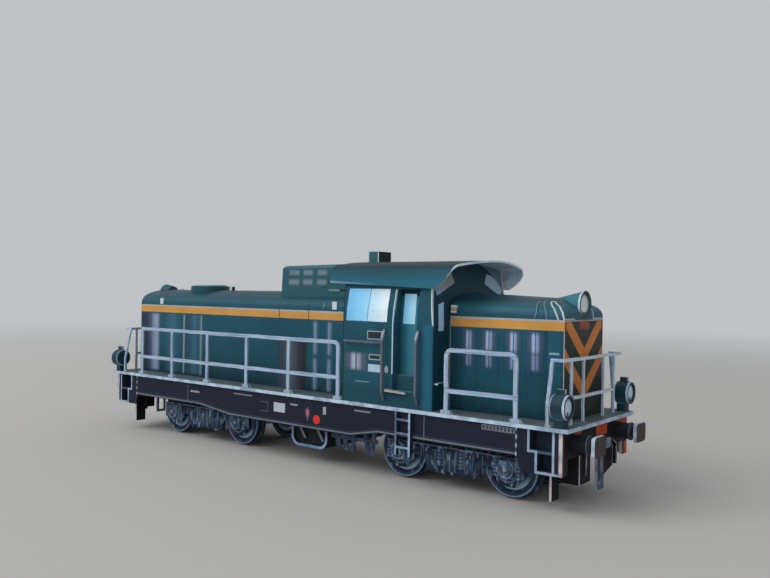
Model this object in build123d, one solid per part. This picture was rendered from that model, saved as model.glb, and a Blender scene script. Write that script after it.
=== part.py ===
from build123d import *
from math import sqrt
import os

os.makedirs("parts", exist_ok=True)

# Card model of a centre-cab diesel locomotive, 1:87, in millimetres.
# Origin: middle of the deck, level with the wheel bottoms.
# +X towards the short hood, -Y the side with the long handrail seen first, +Z up.

# Card
card = 0.5            # wall card, two sheets glued together
card_thin = 0.35      # single stiff sheet
strip = 0.9           # width of a hand-cut handrail strip
strip_thick = 0.4     # thickness of a handrail strip
slip = 0.15           # play of an axle or pivot in its hole
lie = 0.3             # gap left between a bogie and what it runs under
through = 90.0        # longer than half the model, for cuts that go right through

# Deck and frame
deck_length = 149.4
deck_width = 33.2
deck_top = 17.1
deck_thick = 0.8
frame_width = 32.2    # over the sills
floor_top = 14.4
floor_thick = 0.8
sill_to_end = 11.3    # from a sill's end to the deck's
sill_low_end = 10.7   # lower edge at the ends
sill_low_mid = 9.15   # lower edge in the middle
sill_rear_ramp = (-34.5, -21.8)
sill_front_ramp = (20.3, 28.7)

# Bogies and wheels
bogie_rear_x = -37.9
bogie_front_to_end = 29.6   # from the front pivot to the deck's end
wheelbase = 27.7
wheel_tread_d = 12.2
wheel_flange_d = 13.2
wheel_back = 7.0      # inner face of a wheel from the centre line
wheel_thick = 2.6
flange_thick = 0.6
axle_d = 1.6

# Hoods
hood_width = 18.6
hood_rear_to_end = 2.9   # from the long hood's end to the deck's
hood_front_to_end = 4.4

# Cab
cab_rear = 17.5
cab_front = 43.05
cab_width = 32.2
cab_waist = 35.4
cab_lean = 0.9        # how far each side leans in at the eaves
cab_front_lean = 0.75  # how far the front wall leans back at the eaves
cab_shift = 0.6       # how far the window and door edges lean forward above the waist
roof_crown = 49.8
eave_drop_front = 6.5  # crown to eaves at the front of the cab
eave_drop_rear = 5.4
roof_rise = 1.65      # crown above the edges of the top arc
roof_corner = 3.0
roof_thick = 0.45
roof_rear = 13.6
roof_overhang = 0.1   # roof side outside the cab side
visor_reach = 6.75    # tip of the visor in front of the cab
door_rear = 32.2
door_front = 38.7
door_sill = 24.1
door_depth = 2.9
door_step = 20.7

deck_under = deck_top - deck_thick
half_deck = deck_length / 2
sill_end = half_deck - sill_to_end
bogie_front_x = half_deck - bogie_front_to_end
hood_rear_end = hood_rear_to_end - half_deck
hood_front_end = half_deck - hood_front_to_end
half_frame = frame_width / 2
half_cab = cab_width / 2
half_hood = hood_width / 2
floor_under = floor_top - floor_thick
axle_z = wheel_flange_d / 2
eave_front = roof_crown - eave_drop_front
eave_rear = roof_crown - eave_drop_rear
visor_tip = cab_front + visor_reach
window_top = eave_front - 0.2


def block(x0, x1, y0, y1, z0, z1):
    """A box between two corners."""
    size = Box(x1 - x0, y1 - y0, z1 - z0)
    return Pos((x0 + x1) / 2, (y0 + y1) / 2, (z0 + z1) / 2) * size


def along_y(face, y0, y1):
    """A face drawn as (x, z), as thick as y0 to y1."""
    return Pos(0, y1, 0) * extrude(Plane.XZ * face, y1 - y0)


def along_x(face, x0, x1):
    """A face drawn as (y, z), as thick as x0 to x1."""
    return Pos(x0, 0, 0) * extrude(Plane.YZ * face, x1 - x0)


def outline(points):
    return make_face(Polyline(*points, close=True))


def plate_xz(points, y0, y1):
    return along_y(outline(points), y0, y1)


def plate_yz(points, x0, x1):
    return along_x(outline(points), x0, x1)


def rod_x(x0, x1, y, z, d):
    return Pos((x0 + x1) / 2, y, z) * Rot(0, 90, 0) * Cylinder(d / 2, x1 - x0)


def rod_y(y0, y1, x, z, d):
    return Pos(x, (y0 + y1) / 2, z) * Rot(90, 0, 0) * Cylinder(d / 2, y1 - y0)


def rod_z(z0, z1, x, y, d):
    return Pos(x, y, (z0 + z1) / 2) * Cylinder(d / 2, z1 - z0)


def fuse(pieces):
    """Glues pieces into one solid or set of solids."""
    whole = pieces[0]
    for piece in pieces[1:]:
        whole = whole + piece
    return whole


def other_side(shape):
    return mirror(shape, about=Plane.XZ)


def other_end(shape):
    return mirror(shape, about=Plane.YZ)


def both_sides(shape):
    return shape + other_side(shape)


parts = {}

# Deck
parts["deck"] = block(-half_deck, half_deck, -deck_width / 2, deck_width / 2, deck_under, deck_top)

# Sills: long side plates, deeper in the middle
sill = plate_xz([
    (-sill_end, deck_under),
    (-sill_end, sill_low_end),
    (sill_rear_ramp[0], sill_low_end),
    (sill_rear_ramp[1], sill_low_mid),
    (sill_front_ramp[0], sill_low_mid),
    (sill_front_ramp[1], sill_low_end),
    (sill_end, sill_low_end),
    (sill_end, deck_under),
], -half_frame, -half_frame + card)
parts["sill_right"] = sill
parts["sill_left"] = other_side(sill)

# Frame floor with its bulkheads and the two pivot pins
floor_past_sill = 1.5
floor_end = sill_end + floor_past_sill
inside = half_frame - card
middle_bulkhead_x = 3.6
pivot_d = 2.4
pivot_length = 3.6
floor_pieces = [block(-floor_end, floor_end, -inside, inside, floor_under, floor_top)]
for x in (-floor_end, bogie_rear_x, middle_bulkhead_x, bogie_front_x, floor_end - card):
    floor_pieces.append(block(x, x + card, -inside, inside, floor_top, deck_under))
for x in (bogie_rear_x, bogie_front_x):
    floor_pieces.append(rod_z(floor_under - pivot_length, floor_under + 0.2, x, 0, pivot_d))
parts["frame_floor"] = fuse(floor_pieces)

# Buffer beams: a plate with an ear at each end, and below it two folded aprons and the rail guards
beam_set = 1.3        # face in from the deck's end
beam_face = half_deck - beam_set
beam_thick = 0.8
beam_half = half_frame - 0.1
beam_low = 10.9
ear_in = 13.5         # inner edge of an ear from the centre line
ear_low = 7.85
apron_y = (3.2, 8.6)
apron_low = 5.0
apron_deep = 3.9
apron_back = beam_face - apron_deep
apron_cut = 1.6       # how far the left apron is cut away below at its outer edge
guard_set = 4.4
guard_x = beam_face - guard_set
guard_y = (9.2, 12.4)
guard_low = 1.9
beam = plate_yz([
    (-beam_half, deck_under),
    (-beam_half, ear_low),
    (-ear_in, ear_low),
    (-ear_in, beam_low),
    (ear_in, beam_low),
    (ear_in, ear_low),
    (beam_half, ear_low),
    (beam_half, deck_under),
], beam_face - beam_thick, beam_face)


def apron(cut):
    """An apron on the right: its face and the cheek folded back from its outer edge."""
    face = plate_yz([
        (-apron_y[1], beam_low + card),
        (-apron_y[1], apron_low + cut),
        (-apron_y[0], apron_low),
        (-apron_y[0], beam_low + card),
    ], beam_face - card, beam_face)
    cheek = block(apron_back, beam_face, -apron_y[1], -apron_y[1] + card, apron_low + cut, beam_low + card)
    return face + cheek


guard = fuse([
    block(guard_x, beam_face - beam_thick, guard_y[0], guard_y[1], beam_low, beam_low + card),
    block(guard_x, guard_x + card, guard_y[0], guard_y[1], guard_low, deck_under),
])
beam = fuse([beam, guard, other_side(guard), apron(0), other_side(apron(apron_cut))])
parts["beam_front"] = beam
parts["beam_rear"] = other_end(beam)


# Hoods: card shells with an arched top that falls in petals to the outer end
def arch_face(half, fold, crown, low, corner):
    """Upright sides, rounded shoulders and a flatter arc over the crown."""
    shoulder = fold + (crown - fold) * hood_shoulder
    sides = [
        Line((-half, shoulder), (-half, low)),
        Line((-half, low), (half, low)),
        Line((half, low), (half, shoulder)),
        ThreePointArc((half, shoulder), (0, crown), (-half, shoulder)),
    ]
    face = make_face(Wire(sides))
    return fillet(face.vertices().group_by(Axis.Y)[-1], corner)


def end_face(x_cab, x_end, top, dome, drop, corner, low):
    """Side view of a hood: level, then an arc that drops to the outer end, then a rounded corner."""
    side = 1 if x_end > x_cab else -1
    x_dome = x_end - side * dome
    sides = [
        Line((x_cab, low), (x_cab, top)),
        Line((x_cab, top), (x_dome, top)),
        ThreePointArc((x_dome, top), (x_dome + side * dome / 2, top - drop * 0.26), (x_end, top - drop)),
        Line((x_end, top - drop), (x_end, low)),
        Line((x_end, low), (x_cab, low)),
    ]
    face = make_face(Wire(sides))
    ends = face.vertices().filter_by(lambda v: abs(v.X - x_end) < 0.01).sort_by(Axis.Y)
    return fillet(ends[-1], corner)


hood_shoulder = 0.44
hood_corner = 2.9
hood_spare = 0.05      # the side view stays this much above the crown line
hood_table = {
    # cab end, outer end, fold and crown at the cab, fold and crown at the outer end, dome, drop, corner
    "hood_long": (cab_rear, hood_rear_end, 37.4, 42.3, 37.3, 42.0, 3.0, 0.5, 1.6),
    "hood_short": (cab_front, hood_front_end, 37.6, 42.6, 37.35, 41.5, 9.6, 2.2, 2.4),
}


def hood_solid(name, inset):
    x_cab, x_end, fold_cab, crown_cab, fold_end, crown_end, dome, drop, corner = hood_table[name]
    side = 1 if x_end > x_cab else -1
    half = half_hood - inset
    low = deck_top - (1.0 if inset else 0.0)
    x_inner = x_cab - side * inset * 2
    sections = []
    for x, fold, crown in ((x_cab, fold_cab, crown_cab), (x_end, fold_end, crown_end)):
        face = arch_face(half, fold - inset * 0.6, crown - inset, low, hood_corner - inset)
        sections.append(Pos(x if x == x_end else x_inner, 0, 0) * (Plane.YZ * face))
    sections[1] = Pos(side, 0, 0) * sections[1]
    along = loft(sections, ruled=True)
    top = crown_cab - inset + hood_spare
    drop_end = drop + crown_cab - crown_end
    face = end_face(x_inner, x_end - side * inset, top, dome, drop_end, corner - inset, low)
    return along & along_y(face, -hood_width, hood_width)


hood_whole = {}
for name in hood_table:
    hood_whole[name] = hood_solid(name, 0)
    parts[name] = hood_whole[name] - hood_solid(name, card)

# Roof section: near-upright sides, rounded corners and a flat arc
roof_half = half_cab + roof_overhang


def roof_face(inset, low):
    half = roof_half - inset
    crown = roof_crown - inset
    sides = [
        Line((-half, crown - roof_rise), (-half, low)),
        Line((-half, low), (half, low)),
        Line((half, low), (half, crown - roof_rise)),
        ThreePointArc((half, crown - roof_rise), (0, crown), (-half, crown - roof_rise)),
    ]
    face = make_face(Wire(sides))
    return fillet(face.vertices().group_by(Axis.Y)[-1], roof_corner - inset)


roof_outer = along_x(roof_face(0, 0), roof_rear, visor_tip + 2)
roof_inner = along_x(roof_face(roof_thick, 0), roof_rear - 1, visor_tip + 3)


# Cab walls: upright to the waist, then leaning in to the eaves
def cab_block(inset, x0, x1):
    """The cab's outside shape, drawn in by inset, from x0 to x1."""
    half = half_cab - inset
    lean = half - cab_lean * (roof_crown - cab_waist) / (eave_front - cab_waist)
    low = deck_top - 1 if inset else deck_top
    return plate_yz([
        (-half, low),
        (half, low),
        (half, cab_waist),
        (lean, roof_crown),
        (-lean, roof_crown),
        (-half, cab_waist),
    ], x0, x1)


def behind_front(x):
    """The space behind a front wall whose face is at x."""
    slope = cab_front_lean / (eave_front - cab_waist)
    return plate_xz([
        (x, deck_top),
        (x, cab_waist),
        (x - slope * (roof_crown - cab_waist), roof_crown),
        (cab_rear, roof_crown),
        (cab_rear, deck_top),
    ], -half_cab, half_cab)


cab_solid = cab_block(0, cab_rear, cab_front) & roof_inner & behind_front(cab_front)
cab_inner = cab_block(card, cab_rear - 1, cab_front + 1)
front_wall = (cab_solid - behind_front(cab_front - card)) & cab_inner
rear_wall = (cab_solid & block(cab_rear, cab_rear + card, -through, through, 0, through)) & cab_inner
side_wall = (cab_solid - cab_inner) & block(0, through, -through, 0, 0, through)


def leaning(x0, x1, z0, z1, grow=0.0):
    """Outline between two edges that lean forward above the waist."""
    x0, x1, z0, z1 = x0 - grow, x1 + grow, z0 - grow, z1 + grow
    shift = cab_shift * (z1 - cab_waist) / (eave_front - cab_waist)
    knee = max(z0, cab_waist)
    points = [(x0, knee), (x0 + shift, z1), (x1 + shift, z1), (x1, knee)]
    if z0 < knee:
        points += [(x1, z0), (x0, z0)]
    return points


# Side windows, each pane let in flush with its wall
window_x = (18.4, 30.4)
window_low = cab_waist + 0.3
side_opening = plate_xz(leaning(*window_x, window_low, window_top), -half_cab - 1, 0)
panes = side_wall & side_opening
side_wall = side_wall - side_opening

# Door recess: opening in the wall, then a card box with the door leaf at its back
recess_top = window_top
leaf_y = -half_cab + door_depth
side_wall = side_wall - plate_xz(leaning(door_rear, door_front, door_step, recess_top), -half_cab - 1, leaf_y)
door_box = plate_xz(leaning(door_rear, door_front, door_step, recess_top, card), -half_cab, leaf_y + card)
door_space = plate_xz(leaning(door_rear, door_front, door_step, recess_top), -half_cab - 1, leaf_y)
riser_depth = 1.3
riser = block(door_rear, door_front, leaf_y - riser_depth, leaf_y, door_step, door_sill)
door = ((door_box - door_space) + riser) & cab_inner & cab_solid
door_pane_edge = 0.8
door_pane_x = (door_rear + door_pane_edge, door_front - 2.4)
door_opening = plate_xz(leaning(*door_pane_x, cab_waist, recess_top - 1.0), leaf_y - 1, leaf_y + 1)
panes = panes + (door & door_opening)
door = door - door_opening
for side, turned in (("right", lambda s: s), ("left", other_side)):
    parts[f"cab_side_{side}"] = turned(side_wall)
    parts[f"door_{side}"] = turned(door)

# Front wall windows: a narrow low one beside the hood and one that follows the roof
low_window = [(-half_cab + in_y, cab_waist + up) for in_y, up in (
    (2.3, -1.2), (4.3, -1.2), (4.9, 5.1), (2.8, 4.5))]
arc_points = [(-half_cab + in_y, roof_crown - down) for in_y, down in (
    (1.9, 6.6), (2.6, 8.0), (9.7, 5.1), (8.6, 2.8), (4.4, 4.1))]
outer_low, low_end, inner_low, inner_top, over = arc_points
arc_window = make_face(Wire([
    Line(outer_low, low_end),
    Line(low_end, inner_low),
    Line(inner_low, inner_top),
    ThreePointArc(inner_top, over, outer_low),
]))
wall_span = (cab_front - 3, cab_front + 1)
front_opening = both_sides(plate_yz(low_window, *wall_span) + along_x(arc_window, *wall_span))
front_panes = front_wall & front_opening
shelf_out = 1.0
shelf_y = (-15.1, -11.0)
shelf_z = 22.7
shelf = block(cab_front - card, cab_front + shelf_out, *shelf_y, shelf_z, shelf_z + card_thin)
parts["cab_front_wall"] = (front_wall - front_opening) + both_sides(shelf)
parts["cab_rear_wall"] = rear_wall
parts["cab_panes"] = fuse([panes, other_side(panes), front_panes])

# Roof: one curved sheet, its eaves rising to the rear and its visor cut back at the sides
visor_knee = (cab_front + 4.5, eave_front + 4.1)
visor_cheek = (cab_front + 2.8, eave_front + 1.9)
roof_over = roof_crown + 2
visor_wing = visor_tip - 2.9
visor_plan_half = roof_half + 1
roof_keep = make_face(Wire([
    Line((roof_rear, eave_rear), (cab_front, eave_front)),
    ThreePointArc((cab_front, eave_front), visor_cheek, visor_knee),
    Line(visor_knee, (visor_tip + 2.5, roof_over)),
    Line((visor_tip + 2.5, roof_over), (roof_rear, roof_over)),
    Line((roof_rear, roof_over), (roof_rear, eave_rear)),
]))
visor_plan = make_face(Wire([
    Line((roof_rear - 1, -visor_plan_half), (visor_wing, -visor_plan_half)),
    ThreePointArc((visor_wing, -visor_plan_half), (visor_tip, 0), (visor_wing, visor_plan_half)),
    Line((visor_wing, visor_plan_half), (roof_rear - 1, visor_plan_half)),
    Line((roof_rear - 1, visor_plan_half), (roof_rear - 1, -visor_plan_half)),
]))
roof_sheet = (roof_outer - roof_inner) & along_y(roof_keep, -through, through)
parts["cab_roof"] = roof_sheet & extrude(visor_plan, through)

# Vent box behind the cab, standing on the long hood and running in under the roof
vent_rear = -12.3
vent_foot = 37.0
vent_half_low = 7.2
vent_half_top = 6.5
vent_top_rear = 48.9
vent_top_cab = 49.5
vent_bulge = 14.0      # radius of its top


def vent_solid(inset):
    low = vent_foot - (1.0 if inset else 0.0)
    side_view = plate_xz([
        (vent_rear + inset, low),
        (vent_rear + inset, vent_top_rear - inset),
        (cab_rear + 2 * inset, vent_top_cab - inset),
        (cab_rear + 2 * inset, low),
    ], -through, through)
    section = plate_yz([
        (-vent_half_low + inset, low),
        (-vent_half_top + inset, vent_top_cab + 1),
        (vent_half_top - inset, vent_top_cab + 1),
        (vent_half_low - inset, low),
    ], vent_rear, cab_rear + 2)
    bulge = rod_x(vent_rear, cab_rear + 2, 0, vent_top_cab + 0.4 - vent_bulge, 2 * (vent_bulge - inset))
    return side_view & section & bulge


vent = (vent_solid(0) - vent_solid(card)) - hood_whole["hood_long"]
under_roof = roof_inner + block(vent_rear - 1, roof_rear, -through, through, 0, through)
parts["vent_box"] = vent & under_roof

# Small box on the rear edge of the roof
box_x = (13.9, 17.1)
box_half = 2.45
box_top = 52.4
roof_box = block(*box_x, -box_half, box_half, vent_top_rear - card, box_top)
parts["roof_box"] = roof_box - roof_outer - vent_solid(0)

# Round cover on the long hood, with the small cap beside it
cover_x = -50.2
cover_d = 11.4
cover_under = 40.8
cover_top = 43.3
cover_lid_d = 9.6
cap_x = -40.2
cap_d = 1.5
cap_top = 43.2
cover = fuse([
    rod_z(cover_under, cover_top, cover_x, 0, cover_d),
    rod_z(cover_top, cover_top + card_thin, cover_x, 0, cover_lid_d),
    rod_z(cover_under, cap_top, cap_x, 0, cap_d),
])
parts["hood_cover"] = cover - hood_whole["hood_long"]

# Lamps
lens_set = 0.35
lamp_rim = 0.45


def lamp_x(x_back, x_lens, y, z, d, d_back):
    """A round lamp lying along X, widening to a lens set into a rim."""
    side = 1 if x_lens > x_back else -1
    length = abs(x_lens - x_back)
    shape = Cone(d_back / 2, d / 2, length) if d_back < d else Cylinder(d / 2, length)
    body = Pos((x_back + x_lens) / 2, y, z) * Rot(0, side * 90, 0) * shape
    pocket = sorted((x_lens - side * lens_set, x_lens + side))
    return body - rod_x(*pocket, y, z, d - 2 * lamp_rim)


top_lamp_table = {
    # end: (hood, back x, lens x, z, lens diameter, back diameter)
    "front": ("hood_short", hood_front_end - 7.1, hood_front_end + 0.2, 40.5, 5.7, 2.0),
    "rear": ("hood_long", hood_rear_end + 3.2, hood_rear_end - 0.6, 41.0, 5.4, 4.2),
}
for end, (hood, x_back, x_lens, z, d, d_back) in top_lamp_table.items():
    lamp = lamp_x(x_back, x_lens, 0, z, d, d_back)
    parts[f"top_lamp_{end}"] = lamp - hood_whole[hood]

# Marker boxes on the shoulders of the hoods
marker = 1.5
marker_table = (
    # hood, x, z of the top
    ("hood_long", -61.5, 39.4),
    ("hood_long", 8.8, 39.8),
    ("hood_short", 43.95, 39.8),
)
markers = []
for hood, x, top in marker_table:
    box = block(x - marker / 2, x + marker / 2, -half_hood, -half_hood + marker, top - marker - 0.5, top)
    markers.append(both_sides(box - hood_whole[hood]))
parts["marker_boxes"] = fuse(markers)

# Corner lamps standing on the deck ends
corner_lamp_d = 4.8
corner_lamp_z = 21.1
corner_lamp_y = 15.6
corner_lamp_back = 3.3   # in from the deck's end
corner_lamp_lens = 0.2
corner_lamp_x = (half_deck - corner_lamp_back, half_deck - corner_lamp_lens)
lamp_low = corner_lamp_z - corner_lamp_d / 2
lamp_high = corner_lamp_z + corner_lamp_d / 2
corner_lamp = fuse([
    lamp_x(*corner_lamp_x, -corner_lamp_y, corner_lamp_z, corner_lamp_d, corner_lamp_d),
    block(corner_lamp_x[0] + 0.3, corner_lamp_x[1] - 0.9, -corner_lamp_y - 0.9, -corner_lamp_y + 1.4,
          deck_top, lamp_low + 0.3),
    block(corner_lamp_x[0] + 0.6, corner_lamp_x[1] - 0.8, -corner_lamp_y - 0.4, -corner_lamp_y + 0.4,
          lamp_high - 0.3, lamp_high + 1.0),
])
parts["corner_lamps_front"] = both_sides(corner_lamp)
parts["corner_lamps_rear"] = other_end(both_sides(corner_lamp))

# Handrails, cut from card as flat frames
rail_top = 30.9
rail_mid = 22.2
rail_y = -15.9
rail_corner = 1.8
foot_length = 2.2
foot_high = 0.7
long_posts = (-47.1, -31.6, -15.7, -0.3)
long_rail_to_end = 12.95   # from a frame's outer post to the deck's end
short_rail_to_end = 11.05
long_rail = (long_rail_to_end - half_deck, 16.65)
short_rail = (46.25, half_deck - short_rail_to_end)


def rail_foot(x, y):
    """Glue tab at the foot of a post."""
    return block(x - foot_length / 2, x + foot_length / 2, y - strip_thick, y + strip_thick,
                 deck_top, deck_top + foot_high)


def rail_outline(x0, x1, mid, posts, corners):
    """Flat frame: an open-bottomed loop with the chosen top corners rounded, posts and a mid rail."""
    middle, centre, tall = (x0 + x1) / 2, (deck_top + rail_top) / 2, rail_top - deck_top
    outer = Pos(middle, centre) * Rectangle(x1 - x0, tall)
    gap = Pos(middle, centre - strip) * Rectangle(x1 - x0 - 2 * strip, tall)
    tops = outer.vertices().group_by(Axis.Y)[-1].sort_by(Axis.X)
    gap_tops = gap.vertices().group_by(Axis.Y)[-1].sort_by(Axis.X)
    frame = fillet([tops[i] for i in corners], rail_corner) - fillet(
        [gap_tops[i] for i in corners], rail_corner - strip)
    frame += Pos(middle, mid) * Rectangle(x1 - x0 - strip, strip)
    for x in posts:
        frame += Pos(x, centre) * Rectangle(strip, tall)
    return frame


def side_rail(span, mid, posts, corners):
    frame = along_y(rail_outline(*span, mid, posts, corners),
                    rail_y - strip_thick / 2, rail_y + strip_thick / 2)
    feet = [rail_foot(x, rail_y) for x in (span[0] + strip / 2, *posts, span[1] - strip / 2)]
    return fuse([frame, *feet])


long_side = side_rail(long_rail, rail_mid, long_posts, (1,))
short_side = side_rail(short_rail, rail_mid - 0.3, (), (0, 1))
for side, turned in (("right", lambda s: s), ("left", other_side)):
    parts[f"side_rail_{side}"] = turned(long_side)
    parts[f"hood_rail_{side}"] = turned(short_side)

# End rails: across the deck end, folded round the corners onto a leaning post
end_rail_set = 2.1     # in from the deck's end
end_rail_x = half_deck - end_rail_set
end_rail_half = 13.9
end_rail_top = rail_top - 0.8
end_rail_posts = (4.85, 10.5)
end_strip = 0.65
end_bend = 2.5         # how far the rail is folded back round the corner
end_post_x = end_rail_x - end_bend
lean_from = 4.0        # straight foot of the leaning post
lean_knee = deck_top + lean_from
end_bars = [
    block(end_rail_x - strip_thick, end_rail_x, -end_rail_half, end_rail_half,
          end_rail_top - end_strip, end_rail_top),
    block(end_rail_x - strip_thick, end_rail_x, -end_rail_posts[1], end_rail_posts[1],
          rail_mid - end_strip / 2, rail_mid + end_strip / 2),
]
for y in end_rail_posts:
    post = block(end_rail_x - strip_thick, end_rail_x, y - end_strip / 2, y + end_strip / 2,
                 deck_top, end_rail_top)
    end_bars.append(both_sides(post))
lean_post = plate_yz([
    (-end_rail_half - strip_thick / 2, end_rail_top),
    (-end_rail_half + strip_thick / 2, end_rail_top),
    (rail_y + strip_thick / 2, lean_knee),
    (rail_y + strip_thick / 2, deck_top),
    (rail_y - strip_thick / 2, deck_top),
    (rail_y - strip_thick / 2, lean_knee),
], end_post_x - end_strip / 2, end_post_x + end_strip / 2)
corner_bar = block(end_post_x - end_strip / 2, end_rail_x, -end_rail_half - strip_thick / 2,
                   -end_rail_half + strip_thick / 2, end_rail_top - end_strip, end_rail_top)
end_rail = fuse(end_bars + [both_sides(lean_post), both_sides(corner_bar)])
parts["end_rail_front"] = end_rail
parts["end_rail_rear"] = other_end(end_rail)

# Grab rails: bowed strips beside the doors and along the cab side
grab_reach = 0.9
grab_thick = 0.35
grab_width = 0.55
grab_ramp = 1.8
grab_z = (18.2, 34.2)
grab_behind = 2.2      # from the door's rear edge
grab_before = 0.6      # from its front edge
grab_upright_x = (door_rear - grab_behind, door_front + grab_before)
grab_level_x = (17.9, 29.3)
grab_level_z = 31.1


def bow(low, high):
    """Outline of a strip that stands off a wall at 0 between low and high."""
    return outline([
        (0, low), (-grab_reach, low + grab_ramp), (-grab_reach, high - grab_ramp), (0, high),
        (0, high - 2 * grab_thick), (-grab_reach + grab_thick, high - grab_ramp - grab_thick),
        (-grab_reach + grab_thick, low + grab_ramp + grab_thick), (0, low + 2 * grab_thick),
    ])


upright = extrude(Plane.YZ * bow(*grab_z), grab_width)
level = extrude(Plane(origin=(0, 0, 0), x_dir=(0, 1, 0), z_dir=(0, 0, -1)) * bow(*grab_level_x), grab_width)
grabs = [Pos(x - grab_width / 2, -half_cab, 0) * upright for x in grab_upright_x]
grabs.append(Pos(0, -half_cab, grab_level_z + grab_width / 2) * level)
parts["grab_rails"] = both_sides(fuse(grabs))

# Ladders below the doors
ladder_x = (34.05, 38.25)
ladder_out = 0.9
ladder_low = 6.8
ladder_rungs = (8.4, 11.4, 14.4)
ladder_y = (-half_frame - ladder_out, -half_frame)
ladder_bars = []
for x in (ladder_x[0], ladder_x[1] - card):
    ladder_bars.append(block(x, x + card, *ladder_y, ladder_low, deck_under))
for z in ladder_rungs:
    ladder_bars.append(block(*ladder_x, *ladder_y, z, z + card))
parts["ladders"] = both_sides(fuse(ladder_bars))

# Corner steps: a back, cheeks and two treads, set in a sheet that carries the sill's side on to the beam
step_set = (8.7, 7.05, 2.9)   # in from the deck's end: upper and lower inner edges, outer edge
step_x = [half_deck - at for at in step_set]
step_y = (-half_frame, -12.7)
step_jog = 11.8
step_low = 7.85
sheet_slope = 1.0     # how far the sheet's end leans away from the wheel below the sill
steps = fuse([
    plate_xz([
        (step_x[0], deck_under),
        (step_x[0], step_jog),
        (step_x[1], step_jog),
        (step_x[1], step_low),
        (step_x[2], step_low),
        (step_x[2], deck_under),
    ], step_y[1] - card, step_y[1]),
    block(step_x[0], step_x[0] + card, *step_y, step_jog, deck_under),
    block(step_x[1], step_x[1] + card, *step_y, step_low, step_jog + card),
    block(step_x[2] - card, step_x[2], *step_y, step_low, deck_under),
    block(step_x[0], step_x[2], *step_y, step_jog, step_jog + card),
    block(step_x[1], step_x[2], *step_y, step_low, step_low + card),
    plate_xz([
        (sill_end, deck_under),
        (sill_end, sill_low_end),
        (sill_end + sheet_slope, step_low),
        (step_x[1], step_low),
        (step_x[1], step_jog),
        (step_x[0], step_jog),
        (step_x[0], deck_under),
    ], -half_frame, -half_frame + card),
    block(step_x[2], beam_face - beam_thick, -half_frame, -half_frame + card, step_low, deck_under),
])
parts["steps_front"] = both_sides(steps)
parts["steps_rear"] = other_end(both_sides(steps))

# Buffers: sleeve, collar, neck and a rounded rectangular head
buffer_y = 10.6
buffer_z = 13.6
buffer_reach = 5.2
buffer_face = beam_face + buffer_reach
head_wide = 5.2
head_high = 3.9
head_thick = 0.7
head_corner = 0.8
sleeve_d = 3.4
sleeve_reach = 3.2
sleeve_end = beam_face + sleeve_reach
collar_d = 3.8
collar_thick = 0.4
neck_d = 2.4
head = extrude(Plane.YZ * RectangleRounded(head_wide, head_high, head_corner), head_thick)
buffer = fuse([
    rod_x(beam_face, sleeve_end, -buffer_y, buffer_z, sleeve_d),
    rod_x(sleeve_end - collar_thick, sleeve_end, -buffer_y, buffer_z, collar_d),
    rod_x(sleeve_end, buffer_face - head_thick, -buffer_y, buffer_z, neck_d),
    Pos(buffer_face - head_thick, -buffer_y, buffer_z) * head,
])
parts["buffers_front"] = both_sides(buffer)
parts["buffers_rear"] = other_end(both_sides(buffer))

# Draw hooks, each with its coupling link hanging from it as one cut piece
hook_z = 12.4
hook_plate = 1.4
hook_half = 0.4
link_x = beam_face + 0.25
link_thick = 0.6
link_wide = 3.2
link_bar = 0.7
link_top = 12.3
link_low = 2.9
link_gap_low = link_low + link_bar
hook = fuse([
    block(beam_face, beam_face + 0.4, -hook_plate, hook_plate, hook_z - hook_plate, hook_z + hook_plate),
    plate_xz([
        (beam_face + 0.4, hook_z - 0.5),
        (beam_face + 0.4, hook_z + 0.5),
        (beam_face + 2.2, hook_z + 0.5),
        (beam_face + 2.2, hook_z + 1.2),
        (beam_face + 3.0, hook_z + 1.2),
        (beam_face + 3.0, hook_z - 0.3),
        (beam_face + 2.4, hook_z - 0.9),
        (beam_face + 1.2, hook_z - 0.9),
    ], -hook_half, hook_half),
])
link = block(link_x, link_x + link_thick, -link_wide / 2, link_wide / 2, link_low, link_top) - block(
    link_x - 1, link_x + 2, -link_wide / 2 + link_bar, link_wide / 2 - link_bar,
    link_gap_low, hook_z - 0.9)
parts["hook_front"] = hook + link
parts["hook_rear"] = other_end(hook + link)

# Brake hoses: stiff square strips that bend down from the beam
hose_side = 0.7
hose_y = 7.6
hose_top = 11.9
hose_low = 7.0
hose_out = 1.1
hose = plate_xz([
    (beam_face, hose_top),
    (beam_face + hose_out - hose_side, hose_top),
    (beam_face + hose_out, hose_top - hose_side),
    (beam_face + hose_out, hose_low),
    (beam_face + hose_out - hose_side, hose_low),
    (beam_face + hose_out - hose_side, hose_top - 1.4 * hose_side),
    (beam_face + hose_out - 1.4 * hose_side, hose_top - hose_side),
    (beam_face, hose_top - hose_side),
], -hose_y - hose_side / 2, -hose_y + hose_side / 2)
parts["hoses_front"] = both_sides(hose)
parts["hoses_rear"] = other_end(both_sides(hose))

# Tank between the bogies: a rim round each end with two slanted straps across it
tank_to_bogie = 35.9   # from the tank's front end to the front pivot
tank_length = 12.2
tank_x = (bogie_front_x - tank_to_bogie - tank_length, bogie_front_x - tank_to_bogie)
tank_half = 11.6
tank_low = 3.4
tank_corner = 2.6
tank_rim = 0.7
tank_set = 0.8
strap_table = (
    # from the tank's rear end, and z, of the upper end and of the lower end
    (2.0, 8.6, 4.2, 5.6),
    (7.8, 8.8, 10.2, 5.4),
)


def tank_face(grow):
    x0, x1 = tank_x[0] - grow, tank_x[1] + grow
    tall = 2 * (floor_under - tank_low + grow)
    whole = Pos((x0 + x1) / 2, floor_under) * RectangleRounded(x1 - x0, tall, tank_corner + grow)
    half = Pos((x0 + x1) / 2, floor_under - tall / 2) * Rectangle(x1 - x0 + 2, tall)
    return whole & half


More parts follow.
